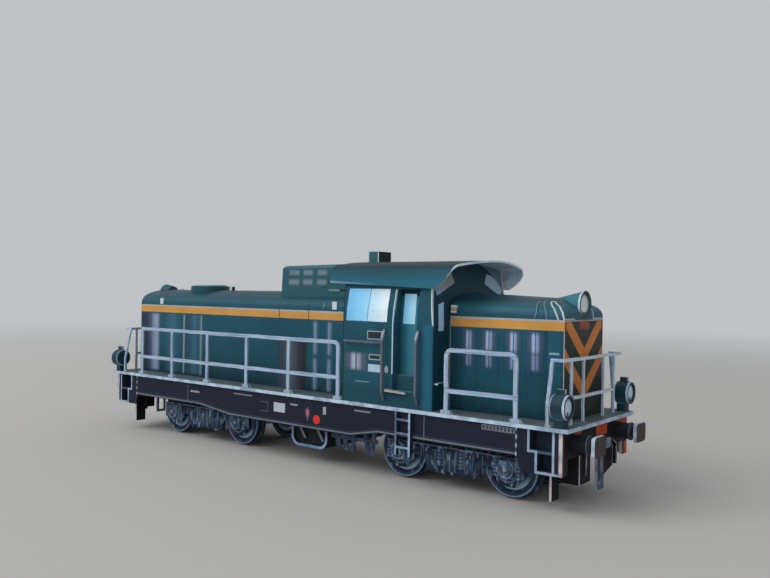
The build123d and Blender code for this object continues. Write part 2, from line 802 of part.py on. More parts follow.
pocket = along_y(tank_face(-tank_rim), -tank_half - 1, -tank_half + tank_set)
tank = along_y(tank_face(0), -tank_half, tank_half) - pocket - other_side(pocket)
for from_top, z_top, from_foot, z_foot in strap_table:
    x_top = tank_x[0] + from_top
    x_foot = tank_x[0] + from_foot
    strap = plate_xz([
        (x_top, z_top), (x_top + strip, z_top), (x_foot + strip, z_foot), (x_foot, z_foot),
    ], -tank_half + 0.2, -tank_half + tank_set + 0.2)
    tank = tank + both_sides(strap)
parts["tank"] = tank

# Hangers under the floor in front of the tank, joined by a strip
hanger_table = (
    # from the tank's front end: at the floor, at the foot; z of the foot
    (1.2, 2.8, 5.2),
    (3.4, 5.4, 4.4),
    (8.2, 7.4, 4.2),
    (10.2, 12.2, 4.4),
    (14.4, 13.2, 4.2),
)
hanger_y = (-11.4, -10.6)
hanger_strip_z = 6.9
hangers = []
for from_top, from_foot, z_foot in hanger_table:
    x_top = tank_x[1] + from_top
    x_foot = tank_x[1] + from_foot
    hangers.append(plate_xz([
        (x_top, floor_under), (x_top + strip, floor_under),
        (x_foot + strip, z_foot), (x_foot, z_foot),
    ], *hanger_y))
hangers.append(block(tank_x[1] + hanger_table[0][0], tank_x[1] + hanger_table[-1][0] + strip, *hanger_y,
                     hanger_strip_z, hanger_strip_z + strip))
parts["hangers"] = both_sides(fuse(hangers))

# Bogies
bogie_overhang = 3.45  # frame beyond the axle
bogie_half = wheelbase / 2 + bogie_overhang
cheek_y = (5.2, 6.0)
cheek_z = (4.4, 10.2)
bolster_half = 4.6
bolster_z = (7.6, floor_under - lie - 0.6)
pad_d = 6.0
side_y = (10.3, 11.2)
side_z = (6.4, 9.0)
guard_half = 3.6       # axle guard, half width at the top
guard_foot = 1.9       # half width at the foot
guard_foot_z = 2.9
panel_half = 7.4
panel_foot = 5.6
panel_low = 3.1
axle_box_half = 1.7
axle_box_z = (4.7, 8.3)
axle_box_out = 0.9
axle_cap_half = 1.0
axle_cap_out = 0.3
spring_half = 0.75
spring_out = 0.5
spring_z = (4.8, 9.0)
spring_x = (2.7, wheelbase / 2 - 2.7, wheelbase / 2 + 2.7)
gear_out = 0.6
gear_z = (3.9, 8.2)
gear_table = (
    # place along the frame on either side of the middle, half length
    (0.0, 1.5),
    (4.9, 1.0),
)
brake_x = wheelbase / 2 - wheel_flange_d / 2 - 1.0
brake_y = (7.3, 9.3)
brake_z = (3.4, 10.4)


def bogie_outline():
    """Half of a side frame's outline from the middle to the end, as (x, z), then mirrored."""
    wheel_x = wheelbase / 2
    lower = [
        (panel_foot, panel_low),
        (panel_half, side_z[0]),
        (wheel_x - guard_half, side_z[0]),
        (wheel_x - guard_foot, guard_foot_z),
        (wheel_x + guard_foot, guard_foot_z),
        (wheel_x + guard_half - 0.6, side_z[0]),
        (bogie_half, side_z[0] + 0.4),
        (bogie_half, side_z[1]),
    ]
    return lower + [(-x, z) for x, z in reversed(lower)]


def bogie_side():
    """One side frame with axle boxes, springs and gear boxes standing proud of it."""
    y_in, y_out = -side_y[0], -side_y[1]
    pieces = [plate_xz(bogie_outline(), y_out, y_in)]
    for x in (-wheelbase / 2, wheelbase / 2):
        pieces.append(block(x - axle_box_half, x + axle_box_half, y_out - axle_box_out, y_in, *axle_box_z))
        pieces.append(block(x - axle_cap_half, x + axle_cap_half, y_out - axle_box_out - axle_cap_out, y_out,
                            axle_z - axle_cap_half, axle_z + axle_cap_half))
    for x in spring_x:
        for at in (-x, x):
            pieces.append(block(at - spring_half, at + spring_half, y_out - spring_out, y_in, *spring_z))
    for x, half in gear_table:
        for at in sorted({-x, x}):
            pieces.append(block(at - half, at + half, y_out - gear_out, y_in, *gear_z))
    return fuse(pieces)


def bogie_frame():
    cheek = block(-bogie_half, bogie_half, -cheek_y[1], -cheek_y[0], *cheek_z)
    half = fuse([bogie_side(), cheek])
    bolster = block(-bolster_half, bolster_half, -side_y[0], side_y[0], *bolster_z)
    bars = []
    for x in (-bogie_half + card, bogie_half - card):
        bars.append(block(x - card, x + card, -cheek_y[0], cheek_y[0], cheek_z[0] + 1, cheek_z[1]))
    for x in (-brake_x, brake_x):
        bars.append(both_sides(block(x - card / 2, x + card / 2, *brake_y, *brake_z)))
        bars.append(block(x - card / 2, x + card / 2, -side_y[0], side_y[0], brake_z[1] - card, brake_z[1]))
    pad = rod_z(bolster_z[1], bolster_z[1] + 0.6, 0, 0, pad_d)
    whole = fuse([half, other_side(half), bolster, *bars, pad])
    for x in (-wheelbase / 2, wheelbase / 2):
        whole -= rod_y(-cheek_y[1] - 0.5, cheek_y[1] + 0.5, x, axle_z, axle_d + 2 * slip)
    return whole - rod_z(floor_under - pivot_length - 1, floor_under, 0, 0, pivot_d + 2 * slip)


wheel_rim = 1.1
wheel_dish = 0.5
hub_d = 3.6


def wheelset():
    """Axle with its two flanged wheels, each with a dished face and a hub."""
    axle_end = wheel_back + wheel_thick + 0.2
    wheel_face = -wheel_back - wheel_thick
    wheel = fuse([
        rod_y(wheel_face, -wheel_back, 0, axle_z, wheel_tread_d),
        rod_y(-wheel_back - flange_thick, -wheel_back, 0, axle_z, wheel_flange_d),
    ])
    wheel -= rod_y(wheel_face - 1, wheel_face + wheel_dish, 0, axle_z, wheel_tread_d - 2 * wheel_rim)
    wheel += rod_y(wheel_face, -wheel_back - 1, 0, axle_z, hub_d)
    return fuse([rod_y(-axle_end, axle_end, 0, axle_z, axle_d), wheel, other_side(wheel)])


frame_shape = bogie_frame()
wheel_shape = wheelset()
for end, x in (("rear", bogie_rear_x), ("front", bogie_front_x)):
    parts[f"bogie_{end}"] = Pos(x, 0, 0) * frame_shape
    parts[f"wheelset_{end}_a"] = Pos(x - wheelbase / 2, 0, 0) * wheel_shape
    parts[f"wheelset_{end}_b"] = Pos(x + wheelbase / 2, 0, 0) * wheel_shape

for name, shape in parts.items():
    export_step(shape, f"parts/{name}.step")
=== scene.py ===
import bpy
import bmesh
from math import radians
from types import SimpleNamespace
from mathutils import Matrix, Vector, noise


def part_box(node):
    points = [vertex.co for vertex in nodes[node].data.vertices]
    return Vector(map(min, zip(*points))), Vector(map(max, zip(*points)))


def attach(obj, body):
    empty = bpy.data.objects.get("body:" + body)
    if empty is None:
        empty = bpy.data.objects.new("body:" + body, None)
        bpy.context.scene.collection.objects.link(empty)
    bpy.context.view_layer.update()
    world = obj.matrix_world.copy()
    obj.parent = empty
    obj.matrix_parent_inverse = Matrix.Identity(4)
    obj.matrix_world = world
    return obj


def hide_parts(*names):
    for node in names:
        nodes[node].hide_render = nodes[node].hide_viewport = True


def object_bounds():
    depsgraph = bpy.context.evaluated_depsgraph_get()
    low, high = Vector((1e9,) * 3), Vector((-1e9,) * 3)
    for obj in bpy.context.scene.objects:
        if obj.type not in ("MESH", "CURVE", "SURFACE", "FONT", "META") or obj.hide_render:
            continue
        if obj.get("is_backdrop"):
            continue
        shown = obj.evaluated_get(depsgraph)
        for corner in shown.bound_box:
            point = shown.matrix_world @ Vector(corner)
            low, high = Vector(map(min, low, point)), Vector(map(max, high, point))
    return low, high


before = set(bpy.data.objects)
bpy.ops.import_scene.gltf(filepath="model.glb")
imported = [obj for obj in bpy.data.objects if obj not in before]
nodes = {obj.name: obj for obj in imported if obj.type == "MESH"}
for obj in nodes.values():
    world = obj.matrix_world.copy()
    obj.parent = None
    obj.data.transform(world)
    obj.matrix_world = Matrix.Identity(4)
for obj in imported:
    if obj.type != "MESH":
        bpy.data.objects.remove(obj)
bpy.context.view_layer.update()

# Camera: hand-held, a model's length and a half away, level with the cab's eaves.
# Its place is in metres in the model's own frame, its turn is from looking along +Y.
CAMERA_PLACE = Vector((0.1389, -0.1533, 0.0426))
CAMERA_YAW = 0.6707
CAMERA_PITCH = 0.0028
CAMERA_ROLL = 0.0162
CAMERA_LENS = 36.66
turn = (Matrix.Rotation(CAMERA_YAW, 4, "Z")
        @ Matrix.Rotation(CAMERA_PITCH + radians(90), 4, "X")
        @ Matrix.Rotation(CAMERA_ROLL, 4, "Z"))
camera_data = bpy.data.cameras.new("photo_view")
camera_data.lens = CAMERA_LENS
camera_data.sensor_width = 36
camera = bpy.data.objects.new("photo_view", camera_data)
camera.matrix_world = Matrix.Translation(CAMERA_PLACE) @ turn
bpy.context.collection.objects.link(camera)
bpy.context.scene.camera = camera
bpy.context.scene.view_settings.view_transform = "Standard"

# Deck: one long sheet of thick card that everything stands on, printed grey on top.
# The knife leaves its edge bare, so a line of paper white runs all round it.
# Prints are laid out in millimetres on the model: x along it, y across, z up.
PAPER = "#B6CADC"
PAPER_GREYED = "#8FA2B6"
DECK_GREY = "#5B676B"
# The next colour is painted shade, where the deck meets the hoods.
DECK_FOOT_SHADE = "#3C474B"
FIBRE = 0.5        # mm; real fibres are far finer, drawn this coarse so that they show
EDGE_PATCH = 2.6   # mm between cleaner and greyer stretches of a cut edge
TONER_CLOUD = 7.0  # mm between lighter and darker patches of toner
HOOD_SIDE = 9.3
FACING = (0.7, 1.1)  # the share of a normal that lies along an axis, where the surface looks along it
ASIDE = (-1, 0.7)    # and where it looks another way


def linear(colour):
    """A hex colour as linear RGBA."""
    channels = [int(colour[i:i + 2], 16) / 255 for i in (1, 3, 5)]
    return [c / 12.92 if c <= 0.04045 else ((c + 0.055) / 1.055) ** 2.4 for c in channels] + [1.0]


def add(tree, kind, inputs, **settings):
    """Adds a node: its settings by name, its inputs as numbers, hex colours, sockets or other nodes."""
    node = tree.nodes.new("ShaderNode" + kind)
    for name, value in settings.items():
        setattr(node, name, value)
    for key, value in inputs.items():
        if isinstance(value, bpy.types.Node):
            value = value.outputs[2] if value.bl_idname == "ShaderNodeMix" else value.outputs[0]
        if isinstance(value, bpy.types.NodeSocket):
            tree.links.new(value, node.inputs[key])
        else:
            if isinstance(value, str):
                value = linear(value)[:len(node.inputs[key].default_value)]
            node.inputs[key].default_value = value
    return node


def new_sheet(name):
    """A sheet of card to print on: its material, tree, places in mm and which way the surface faces."""
    material = bpy.data.materials.new(name)
    material.use_nodes = True
    tree = material.node_tree
    coords = add(tree, "TexCoord", {})
    mm = add(tree, "VectorMath", {0: coords.outputs["Object"], "Scale": 1000}, operation="SCALE")
    place = add(tree, "SeparateXYZ", {0: mm}).outputs
    facing = add(tree, "VectorMath", {0: coords.outputs["Normal"]}, operation="ABSOLUTE")
    flat = add(tree, "SeparateXYZ", {0: facing}).outputs
    signed = add(tree, "SeparateXYZ", {0: coords.outputs["Normal"]}).outputs
    side = add(tree, "Math", {0: place[1]}, operation="ABSOLUTE")
    end = add(tree, "Math", {0: place[0]}, operation="ABSOLUTE")
    outward = add(tree, "Math", {0: signed[0], 1: place[0]}, operation="MULTIPLY")
    outward = add(tree, "Math", {0: outward, 1: end}, operation="DIVIDE")
    return SimpleNamespace(material=material, tree=tree, mm=mm, x=place[0], y=place[1], z=place[2],
                           side=side, end=end, on_x=flat[0], on_y=flat[1], on_z=flat[2],
                           up=signed[2], outward=outward)


def inside(sheet, bounds):
    """1 where every bound holds: (place, low, high), or with a fourth number the mm that it fades over."""
    tree = sheet.tree
    mask = 1.0
    for place, low, high, *fade in bounds:
        middle, half = (low + high) / 2, (high - low) / 2
        if fade:
            away = add(tree, "Math", {0: place, 1: middle}, operation="SUBTRACT")
            away = add(tree, "Math", {0: away}, operation="ABSOLUTE")
            soft = fade[0] / 2
            hit = add(tree, "MapRange", {0: away, 1: half + soft, 2: half - soft, 3: 0.0, 4: 1.0})
        else:
            hit = add(tree, "Math", {0: place, 1: middle, 2: half}, operation="COMPARE")
        mask = hit if mask == 1.0 else add(tree, "Math", {0: mask, 1: hit}, operation="MULTIPLY")
    return mask


def bent(sheet, along, points):
    """The height of a bent line at a place along it; a point is (place, height)."""
    height = points[0][1]
    for (a0, h0), (a1, h1) in zip(points, points[1:]):
        rise = add(sheet.tree, "MapRange", {0: along, 1: a0, 2: a1, 3: 0.0, 4: h1 - h0})
        height = add(sheet.tree, "Math", {0: height, 1: rise}, operation="ADD")
    return height


def ink(sheet, under, over, *bounds, cover=1.0):
    """Prints one colour over another inside the bounds."""
    mask = inside(sheet, bounds)
    if cover != 1.0:
        mask = add(sheet.tree, "Math", {0: mask, 1: cover}, operation="MULTIPLY")
    return add(sheet.tree, "Mix", {0: mask, 6: under, 7: over}, data_type="RGBA")


def shade(sheet, under, place, stops, *bounds):
    """Prints a row of graded bands; a stop is (mm along the place, colour, cover)."""
    tree = sheet.tree
    first, last = stops[0][0], stops[-1][0]
    along = add(tree, "MapRange", {0: place, 1: first, 2: last, 3: 0.0, 4: 1.0})
    ramp = add(tree, "ValToRGB", {0: along})
    marks = ramp.color_ramp.elements
    for _ in range(len(stops) - 2):
        marks.new(0.5)
    for mark, (at, colour, cover) in zip(marks, stops):
        mark.position = (at - first) / (last - first)
        mark.color = linear(colour)[:3] + [cover]
    limits = inside(sheet, ((place, first, last), *bounds))
    mask = add(tree, "Math", {0: ramp.outputs["Alpha"], 1: limits}, operation="MULTIPLY")
    return add(tree, "Mix", {0: mask, 6: under, 7: ramp.outputs["Color"]}, data_type="RGBA")


def combine(sheet, operation, *masks):
    """Joins masks by one maths operation, kept between 0 and 1."""
    result = masks[0]
    for mask in masks[1:]:
        result = add(sheet.tree, "Math", {0: result, 1: mask}, operation=operation, use_clamp=True)
    return result


def finish(sheet, colour, cut=None, roughness=0.6, paper=PAPER, paper_greyed=PAPER_GREYED):
    """Turns the ink into card: uneven toner, paper tooth, and bare paper where cut is 1."""
    tree = sheet.tree
    tooth = add(tree, "TexNoise", {"Vector": sheet.mm, "Scale": 1 / FIBRE, "Detail": 3.0})
    cloud = add(tree, "TexNoise", {"Vector": sheet.mm, "Scale": 1 / TONER_CLOUD, "Detail": 4.0})
    if cut is not None:
        patch = add(tree, "TexNoise", {"Vector": sheet.mm, "Scale": 1 / EDGE_PATCH, "Detail": 2.0})
        worn = add(tree, "MapRange", {0: patch, 1: 0.36, 2: 0.58, 3: 0.0, 4: 1.0})
        bare = add(tree, "Mix", {0: worn, 6: paper_greyed, 7: paper}, data_type="RGBA")
        colour = add(tree, "Mix", {0: cut, 6: colour, 7: bare}, data_type="RGBA")
    lift = add(tree, "MapRange", {0: cloud, 1: 0.3, 2: 0.7, 3: 0.9, 4: 1.1})
    grain = add(tree, "MapRange", {0: tooth, 1: 0.3, 2: 0.7, 3: 0.96, 4: 1.04})
    tone = add(tree, "Math", {0: lift, 1: grain}, operation="MULTIPLY")
    toned = add(tree, "VectorMath", {0: colour, "Scale": tone}, operation="SCALE")
    relief = add(tree, "Bump", {"Strength": 0.3, "Distance": 0.00005, "Height": tooth})
    shader = tree.nodes["Principled BSDF"]
    tree.links.new(toned.outputs[0], shader.inputs["Base Color"])
    tree.links.new(relief.outputs[0], shader.inputs["Normal"])
    shader.inputs["Roughness"].default_value = roughness
    shader.inputs["Specular IOR Level"].default_value = 0.14
    return sheet.material


def edge_of(sheet, facing, limit=FACING[0]):
    """1 on the cut edges of a sheet whose printed faces look along the facing."""
    return add(sheet.tree, "Math", {0: facing, 1: limit}, operation="LESS_THAN")


def dress(material, *names):
    """Gives CAD nodes their material."""
    for name in names:
        nodes[name].material_slots[0].material = material


sheet = new_sheet("deck_card")
# Painted shade: the deck darkens in a band beside the hoods, where they shade it.
colour = shade(sheet, DECK_GREY, sheet.side, (
    (HOOD_SIDE, DECK_FOOT_SHADE, 1), (HOOD_SIDE + 1.6, DECK_GREY, 0.4), (HOOD_SIDE + 3.0, DECK_GREY, 0),
), (sheet.end, 0, 75))
dress(finish(sheet, colour, edge_of(sheet, sheet.on_z)), "deck")

# Sills: deep side plates of single card, printed almost black, with a pale frame line along the foot.
# Plain dashes, blank plates and a red disc are printed along them, and the knife leaves the edges bare.
SILL_BLACK = "#1C2130"
SILL_LINE = "#66727F"
SILL_FAINT = "#454651"
SILL_FOOT = "#1A1A20"
SILL_MARK = "#AEB9C6"
RED_DISC = "#D2352A"
DISC_PLACE = (9.75, 0, 11.6)
DISC_RADIUS = 1.08
SILL_Y = 16.1
sill_foot = (
    # x, z of the lower edge, from the rear end to the front end
    (-63.4, 10.7), (-34.5, 10.7), (-21.8, 9.15), (20.3, 9.15), (28.7, 10.7), (63.4, 10.7),
)
sill_ticks = ((-39.4, 11.0, 15.6), (41.3, 11.0, 16.0))
sill_dashes = (
    # x, z, half length, half height, cover
    (-36.3, 14.1, 2.0, 0.25, 0.6),
    (-16.6, 15.1, 3.6, 0.15, 0.45),
    (2.1, 14.4, 1.3, 0.2, 0.6),
    (24.0, 15.1, 2.4, 0.18, 0.45),
    (-3.0, 13.2, 2.0, 1.15, 1.0),
    (12.3, 14.0, 0.5, 0.9, 0.7),
)


def away_from(sheet, middle, stretch):
    """The mm from a point, with each axis stretched, or left out at 0."""
    offset = add(sheet.tree, "VectorMath", {0: sheet.mm, 1: middle}, operation="SUBTRACT")
    offset = add(sheet.tree, "VectorMath", {0: offset, 1: stretch}, operation="MULTIPLY")
    return add(sheet.tree, "VectorMath", {0: offset}, operation="LENGTH").outputs["Value"]


sheet = new_sheet("sill_card")
above_foot = add(sheet.tree, "Math", {0: sheet.z, 1: bent(sheet, sheet.x, sill_foot)}, operation="SUBTRACT")
colour = shade(sheet, SILL_BLACK, above_foot, (
    (0.0, SILL_FOOT, 1), (0.16, SILL_FOOT, 1), (0.24, SILL_LINE, 1), (0.5, SILL_LINE, 1),
    (0.62, SILL_BLACK, 1), (0.9, SILL_FAINT, 0.5), (1.1, SILL_BLACK, 0),
))
for x, low, high in sill_ticks:
    colour = ink(sheet, colour, SILL_LINE, (sheet.x, x - 0.11, x + 0.11), (sheet.z, low, high), cover=0.8)
colour = ink(sheet, colour, SILL_FAINT, (sheet.x, -10.1, -7.0), (sheet.z, 11.6, 14.2))
colour = ink(sheet, colour, SILL_BLACK, (sheet.x, -10.2, -7.3), (sheet.z, 11.9, 13.9))
for x, z, half_long, half_high, cover in sill_dashes:
    colour = ink(sheet, colour, SILL_MARK, (sheet.x, x - half_long, x + half_long),
                 (sheet.z, z - half_high, z + half_high), cover=cover)
row_x = (55.6, 63.2)
blank_count = 9
blank_step = 0.83
colour = ink(sheet, colour, "#6C727E", (sheet.x, *row_x), (sheet.z, 14.9, 16.0))
for i in range(blank_count):
    x = row_x[0] + 0.5 + i * blank_step
    colour = ink(sheet, colour, "#3E3F4A", (sheet.x, x - 0.22, x + 0.22), (sheet.z, 15.1, 15.8))
from_disc = away_from(sheet, DISC_PLACE, (1, 0, 1))
colour = ink(sheet, colour, RED_DISC, (from_disc, -1, DISC_RADIUS))
colour = ink(sheet, colour, "#A05064", (sheet.x, 6.1, 7.4, 0.5), (sheet.z, 12.2, 13.6, 0.6), cover=0.85)
colour = ink(sheet, colour, "#8A8C98", (sheet.x, 6.6, 6.9, 0.2), (sheet.z, 11.2, 14.2, 0.6), cover=0.7)
dress(finish(sheet, colour, edge_of(sheet, sheet.on_y), 0.6, "#A4B2C0", "#3A414C"), "sill_left", "sill_right")

# Frame floor: plain black card between the sills, with its bulkheads and rolled pivot pins.
# It is only seen from below, where it is matt and unprinted apart from the black.
FLOOR_BLACK = "#1C1D21"
sheet = new_sheet("black_card")
dress(finish(sheet, FLOOR_BLACK, None, 0.6), "frame_floor")

# Buffer beams: thick card plates, orange-red above; the black left between the red patches up there, and the
# dark maroon at the near outer end, are painted shade.
# The ears, aprons and rail guards below are black, and every cut edge is bare paper.
BEAM_RED = "#B0492A"
BEAM_BLACK = "#17181C"
beam_patches = (
    # y from, y to, z from, z to
    (-10.9, -7.4, 15.2, 16.4),
    (-0.5, 5.0, 13.6, 16.4),
    (10.2, 16.2, 13.7, 16.4),
    (14.4, 16.2, 7.0, 10.6),
)
sheet = new_sheet("beam_card")
# Black where no red patch is printed; along the top this black is painted shade.
colour = BEAM_BLACK
for y0, y1, z0, z1 in beam_patches:
    colour = ink(sheet, colour, BEAM_RED, (sheet.y, y0, y1), (sheet.z, z0, z1), (sheet.outward, *FACING))
# Painted shade: the red at the near outer end is printed dark maroon.
colour = ink(sheet, colour, "#5A2C3A", (sheet.y, -15.9, -15.2), (sheet.z, 7, 15.6), (sheet.outward, *FACING))
colour = ink(sheet, colour, "#B9BEC6", (sheet.side, 8.1, 8.6), (sheet.z, 5, 10.9), (sheet.outward, *FACING))
cheek = inside(sheet, ((sheet.side, 8.05, 8.65), (sheet.on_y, *FACING), (sheet.z, 4, 11.4)))
cut = combine(sheet, "SUBTRACT", edge_of(sheet, sheet.on_x), cheek)
dress(finish(sheet, colour, cut, 0.6, "#C9C2C8", "#A39EA8"), "beam_front", "beam_rear")

# Buffers: rolled black paper sleeves with a collar, and heads cut from layered card.
# The heads are printed dark brown on the face, and their layered edge is left white.
HEAD_BROWN = "#3B3130"
sheet = new_sheet("buffer_card")
colour = ink(sheet, "#20252B", "#6E7C88", (sheet.end, 76.45, 76.7), (sheet.on_x, *ASIDE))
colour = ink(sheet, colour, "#2C3440", (sheet.end, 76.5, 77.0), (sheet.on_x, *FACING))
colour = ink(sheet, colour, HEAD_BROWN, (sheet.end, 78.0, 79))
on_head = inside(sheet, ((sheet.end, 77.85, 80),))
dress(finish(sheet, colour, combine(sheet, "MULTIPLY", edge_of(sheet, sheet.on_x), on_head), 0.45),
      "buffers_front", "buffers_rear")

# Draw hooks with their hanging links, and the brake hoses: thin strips of dark card.
# The knife shows the pale core along each strip.
sheet = new_sheet("hook_card")
colour = shade(sheet, "#2C3542", sheet.z, ((2.9, "#4A5C76", 1), (5.0, "#42526A", 1), (8.5, "#2C3542", 1)))
dress(finish(sheet, colour, edge_of(sheet, sheet.on_x), 0.5, "#8FA0B2", "#5C6B7C"), "hook_front", "hook_rear")
sheet = new_sheet("hose_card")
dress(finish(sheet, "#1B1C22", edge_of(sheet, sheet.on_y), 0.6, "#8E8D92", "#5E5F66"),
      "hoses_front", "hoses_rear")

# Corner steps and ladders: folded dark card. The steps sit in an opening of the side sheet, and only
# the edges round it were cut and show the paper; the upper tread is folded in, so its edge stays dark.
STEP_DARK = "#263240"
STEP_X = (66.0, 67.65, 71.8)
STEP_LOW = 7.85
STEP_JOG = 11.8
SHEET_FROM = 63.4
SHEET_TO = 72.7
TOOTH_STEP = 1.7
TREAD_SHADE = 0.82  # the share of the tread's bare edge that stays dark
sheet = new_sheet("step_card")
on_face = (sheet.side, SILL_Y - 0.15, 20), (sheet.on_y, *FACING)
side_sheet = combine(
    sheet, "MAXIMUM",
    inside(sheet, (*on_face, (sheet.end, SHEET_FROM - 0.1, STEP_X[0]))),
    inside(sheet, (*on_face, (sheet.end, SHEET_FROM - 0.1, STEP_X[1]), (sheet.z, 0, STEP_JOG))),
    inside(sheet, (*on_face, (sheet.end, STEP_X[2], SHEET_TO), (sheet.z, STEP_LOW + 0.45, 20))))
tread = inside(sheet, ((sheet.end, STEP_X[1] + 0.5, STEP_X[2] - 0.5),
                       (sheet.z, STEP_JOG - 0.1, STEP_JOG + 0.6)))
tread = combine(sheet, "MULTIPLY", tread, TREAD_SHADE)
colour = add(sheet.tree, "Mix", {0: side_sheet, 6: STEP_DARK, 7: SILL_BLACK}, data_type="RGBA")
sheet_end = ((STEP_LOW, SHEET_FROM + 1.0), (10.7, SHEET_FROM), (17.0, SHEET_FROM))
past_end = add(sheet.tree, "Math", {0: sheet.end, 1: bent(sheet, sheet.z, sheet_end)}, operation="SUBTRACT")
tooth_row = add(sheet.tree, "Math", {0: sheet.z, 1: TOOTH_STEP}, operation="MODULO")
colour = ink(sheet, colour, SILL_LINE, *on_face, (past_end, -0.1, 0.12, 0.1), cover=0.6)
colour = ink(sheet, colour, "#A9B2BE", *on_face, (past_end, -0.1, 0.3, 0.15), (tooth_row, 0.45, 1.2, 0.4),
             (sheet.z, 10.7, 17))
cut = combine(sheet, "SUBTRACT", inside(sheet, on_face), side_sheet, tread)
dress(finish(sheet, colour, cut, 0.6, "#9DAEC4", "#8496AC"), "steps_front", "steps_rear")
sheet = new_sheet("ladder_card")
outer = inside(sheet, ((sheet.side, SILL_Y + 0.75, 20), (sheet.on_y, *FACING)))
# Painted shade: below the deck the ladder's bare edges are dimmed.
under_deck_shade = inside(sheet, ((sheet.x, 33.7, 37.6), (sheet.z, 9.0, 16.5, 1.0)))
under_deck_shade = combine(sheet, "MULTIPLY", under_deck_shade, 0.6)
dress(finish(sheet, STEP_DARK, combine(sheet, "SUBTRACT", outer, under_deck_shade), 0.6, "#A2B6D0", "#7488A0"), "ladders")

# Bogies: side frames of layered card printed in blue-greys, with boxes standing proud of them.
# The print draws the coil springs and the rings round the axle boxes, and the cut edges catch the light.
AXLE_Z = 6.6
AXLE_REACH = 13.85
bogie_centres = {"rear": -37.9, "front": 45.1}
SPRING_HALF = 0.75
COIL_STEP = 0.75
FLECK_BLUE = "#93B0D0"
spring_places = (2.7, 11.15, 16.55)
bracket_places = (0.0, 1.4, 3.9, 5.9, 7.9)


def flecks(sheet, colour, cover, *bounds):
    """Upright flecks of pale blue where the print is busy and its folds are rubbed."""
    stretched = add(sheet.tree, "VectorMath", {0: sheet.mm, 1: (1.0, 1.0, 0.45)}, operation="MULTIPLY")
    speckle = add(sheet.tree, "TexNoise", {"Vector": stretched, "Scale": 1.1, "Detail": 3.0})
    pale = add(sheet.tree, "MapRange", {0: speckle, 1: 0.56, 2: 0.64, 3: 0.0, 4: cover})
    mask = add(sheet.tree, "Math", {0: pale, 1: inside(sheet, bounds)}, operation="MULTIPLY")
    return add(sheet.tree, "Mix", {0: mask, 6: colour, 7: FLECK_BLUE}, data_type="RGBA")


for end, centre in bogie_centres.items():
    sheet = new_sheet("bogie_card_" + end)
    tree = sheet.tree
    along = add(tree, "Math", {0: sheet.x, 1: centre}, operation="SUBTRACT")
    along = add(tree, "Math", {0: along}, operation="ABSOLUTE")
    printed = (sheet.on_y, *FACING)
    colour = shade(sheet, "#252A33", sheet.z, (
        (2.9, "#19212E", 1), (4.6, "#263246", 1), (6.2, "#34445E", 1), (7.0, "#232D40", 1),
        (8.6, "#1E2635", 1), (8.72, "#566476", 1), (9.0, "#627082", 1),
    ), printed)
    axle_x = add(tree, "Math", {0: along, 1: AXLE_REACH}, operation="SUBTRACT")
    axle_up = add(tree, "Math", {0: sheet.z, 1: AXLE_Z}, operation="SUBTRACT")
    ring = add(tree, "VectorMath", {0: add(tree, "CombineXYZ", {0: axle_x, 1: axle_up})}, operation="LENGTH")
    ring = ring.outputs["Value"]
    colour = shade(sheet, colour, ring, (
        (0.0, "#7C8A9C", 1), (0.45, "#7C8A9C", 1), (0.6, "#20252E", 1), (1.0, "#4A5A74", 1),
        (1.6, "#344056", 1), (1.8, "#71839C", 1), (2.0, "#262D39", 1), (2.6, "#323E54", 1),
        (2.8, "#66778F", 1), (3.0, "#262D39", 0.5),
    ), printed)
    coil = add(tree, "Math", {0: sheet.z, 1: COIL_STEP}, operation="MODULO")
    for x in spring_places:
        colour = shade(sheet, colour, along, (
            (x - SPRING_HALF, "#20252E", 1), (x - 0.3, "#445470", 1), (x + 0.2, "#5A6C86", 1),
            (x + SPRING_HALF, "#20252E", 1),
        ), printed, (sheet.z, 4.8, 8.7, 0.3))
        colour = ink(sheet, colour, "#1C2028", printed, (along, x - SPRING_HALF, x + SPRING_HALF),
                     (sheet.z, 4.8, 8.7), (coil, 0.0, 0.28), cover=0.8)
    for x in bracket_places:
        colour = ink(sheet, colour, "#8592A4", printed, (along, x - 0.07, x + 0.09), (sheet.z, 3.6, 8.4),
                     cover=0.5)
    colour = flecks(sheet, colour, 0.5, printed)
    dress(finish(sheet, colour, edge_of(sheet, sheet.on_y), 0.6, "#8FA6C0", "#3E4B5E"), "bogie_" + end)

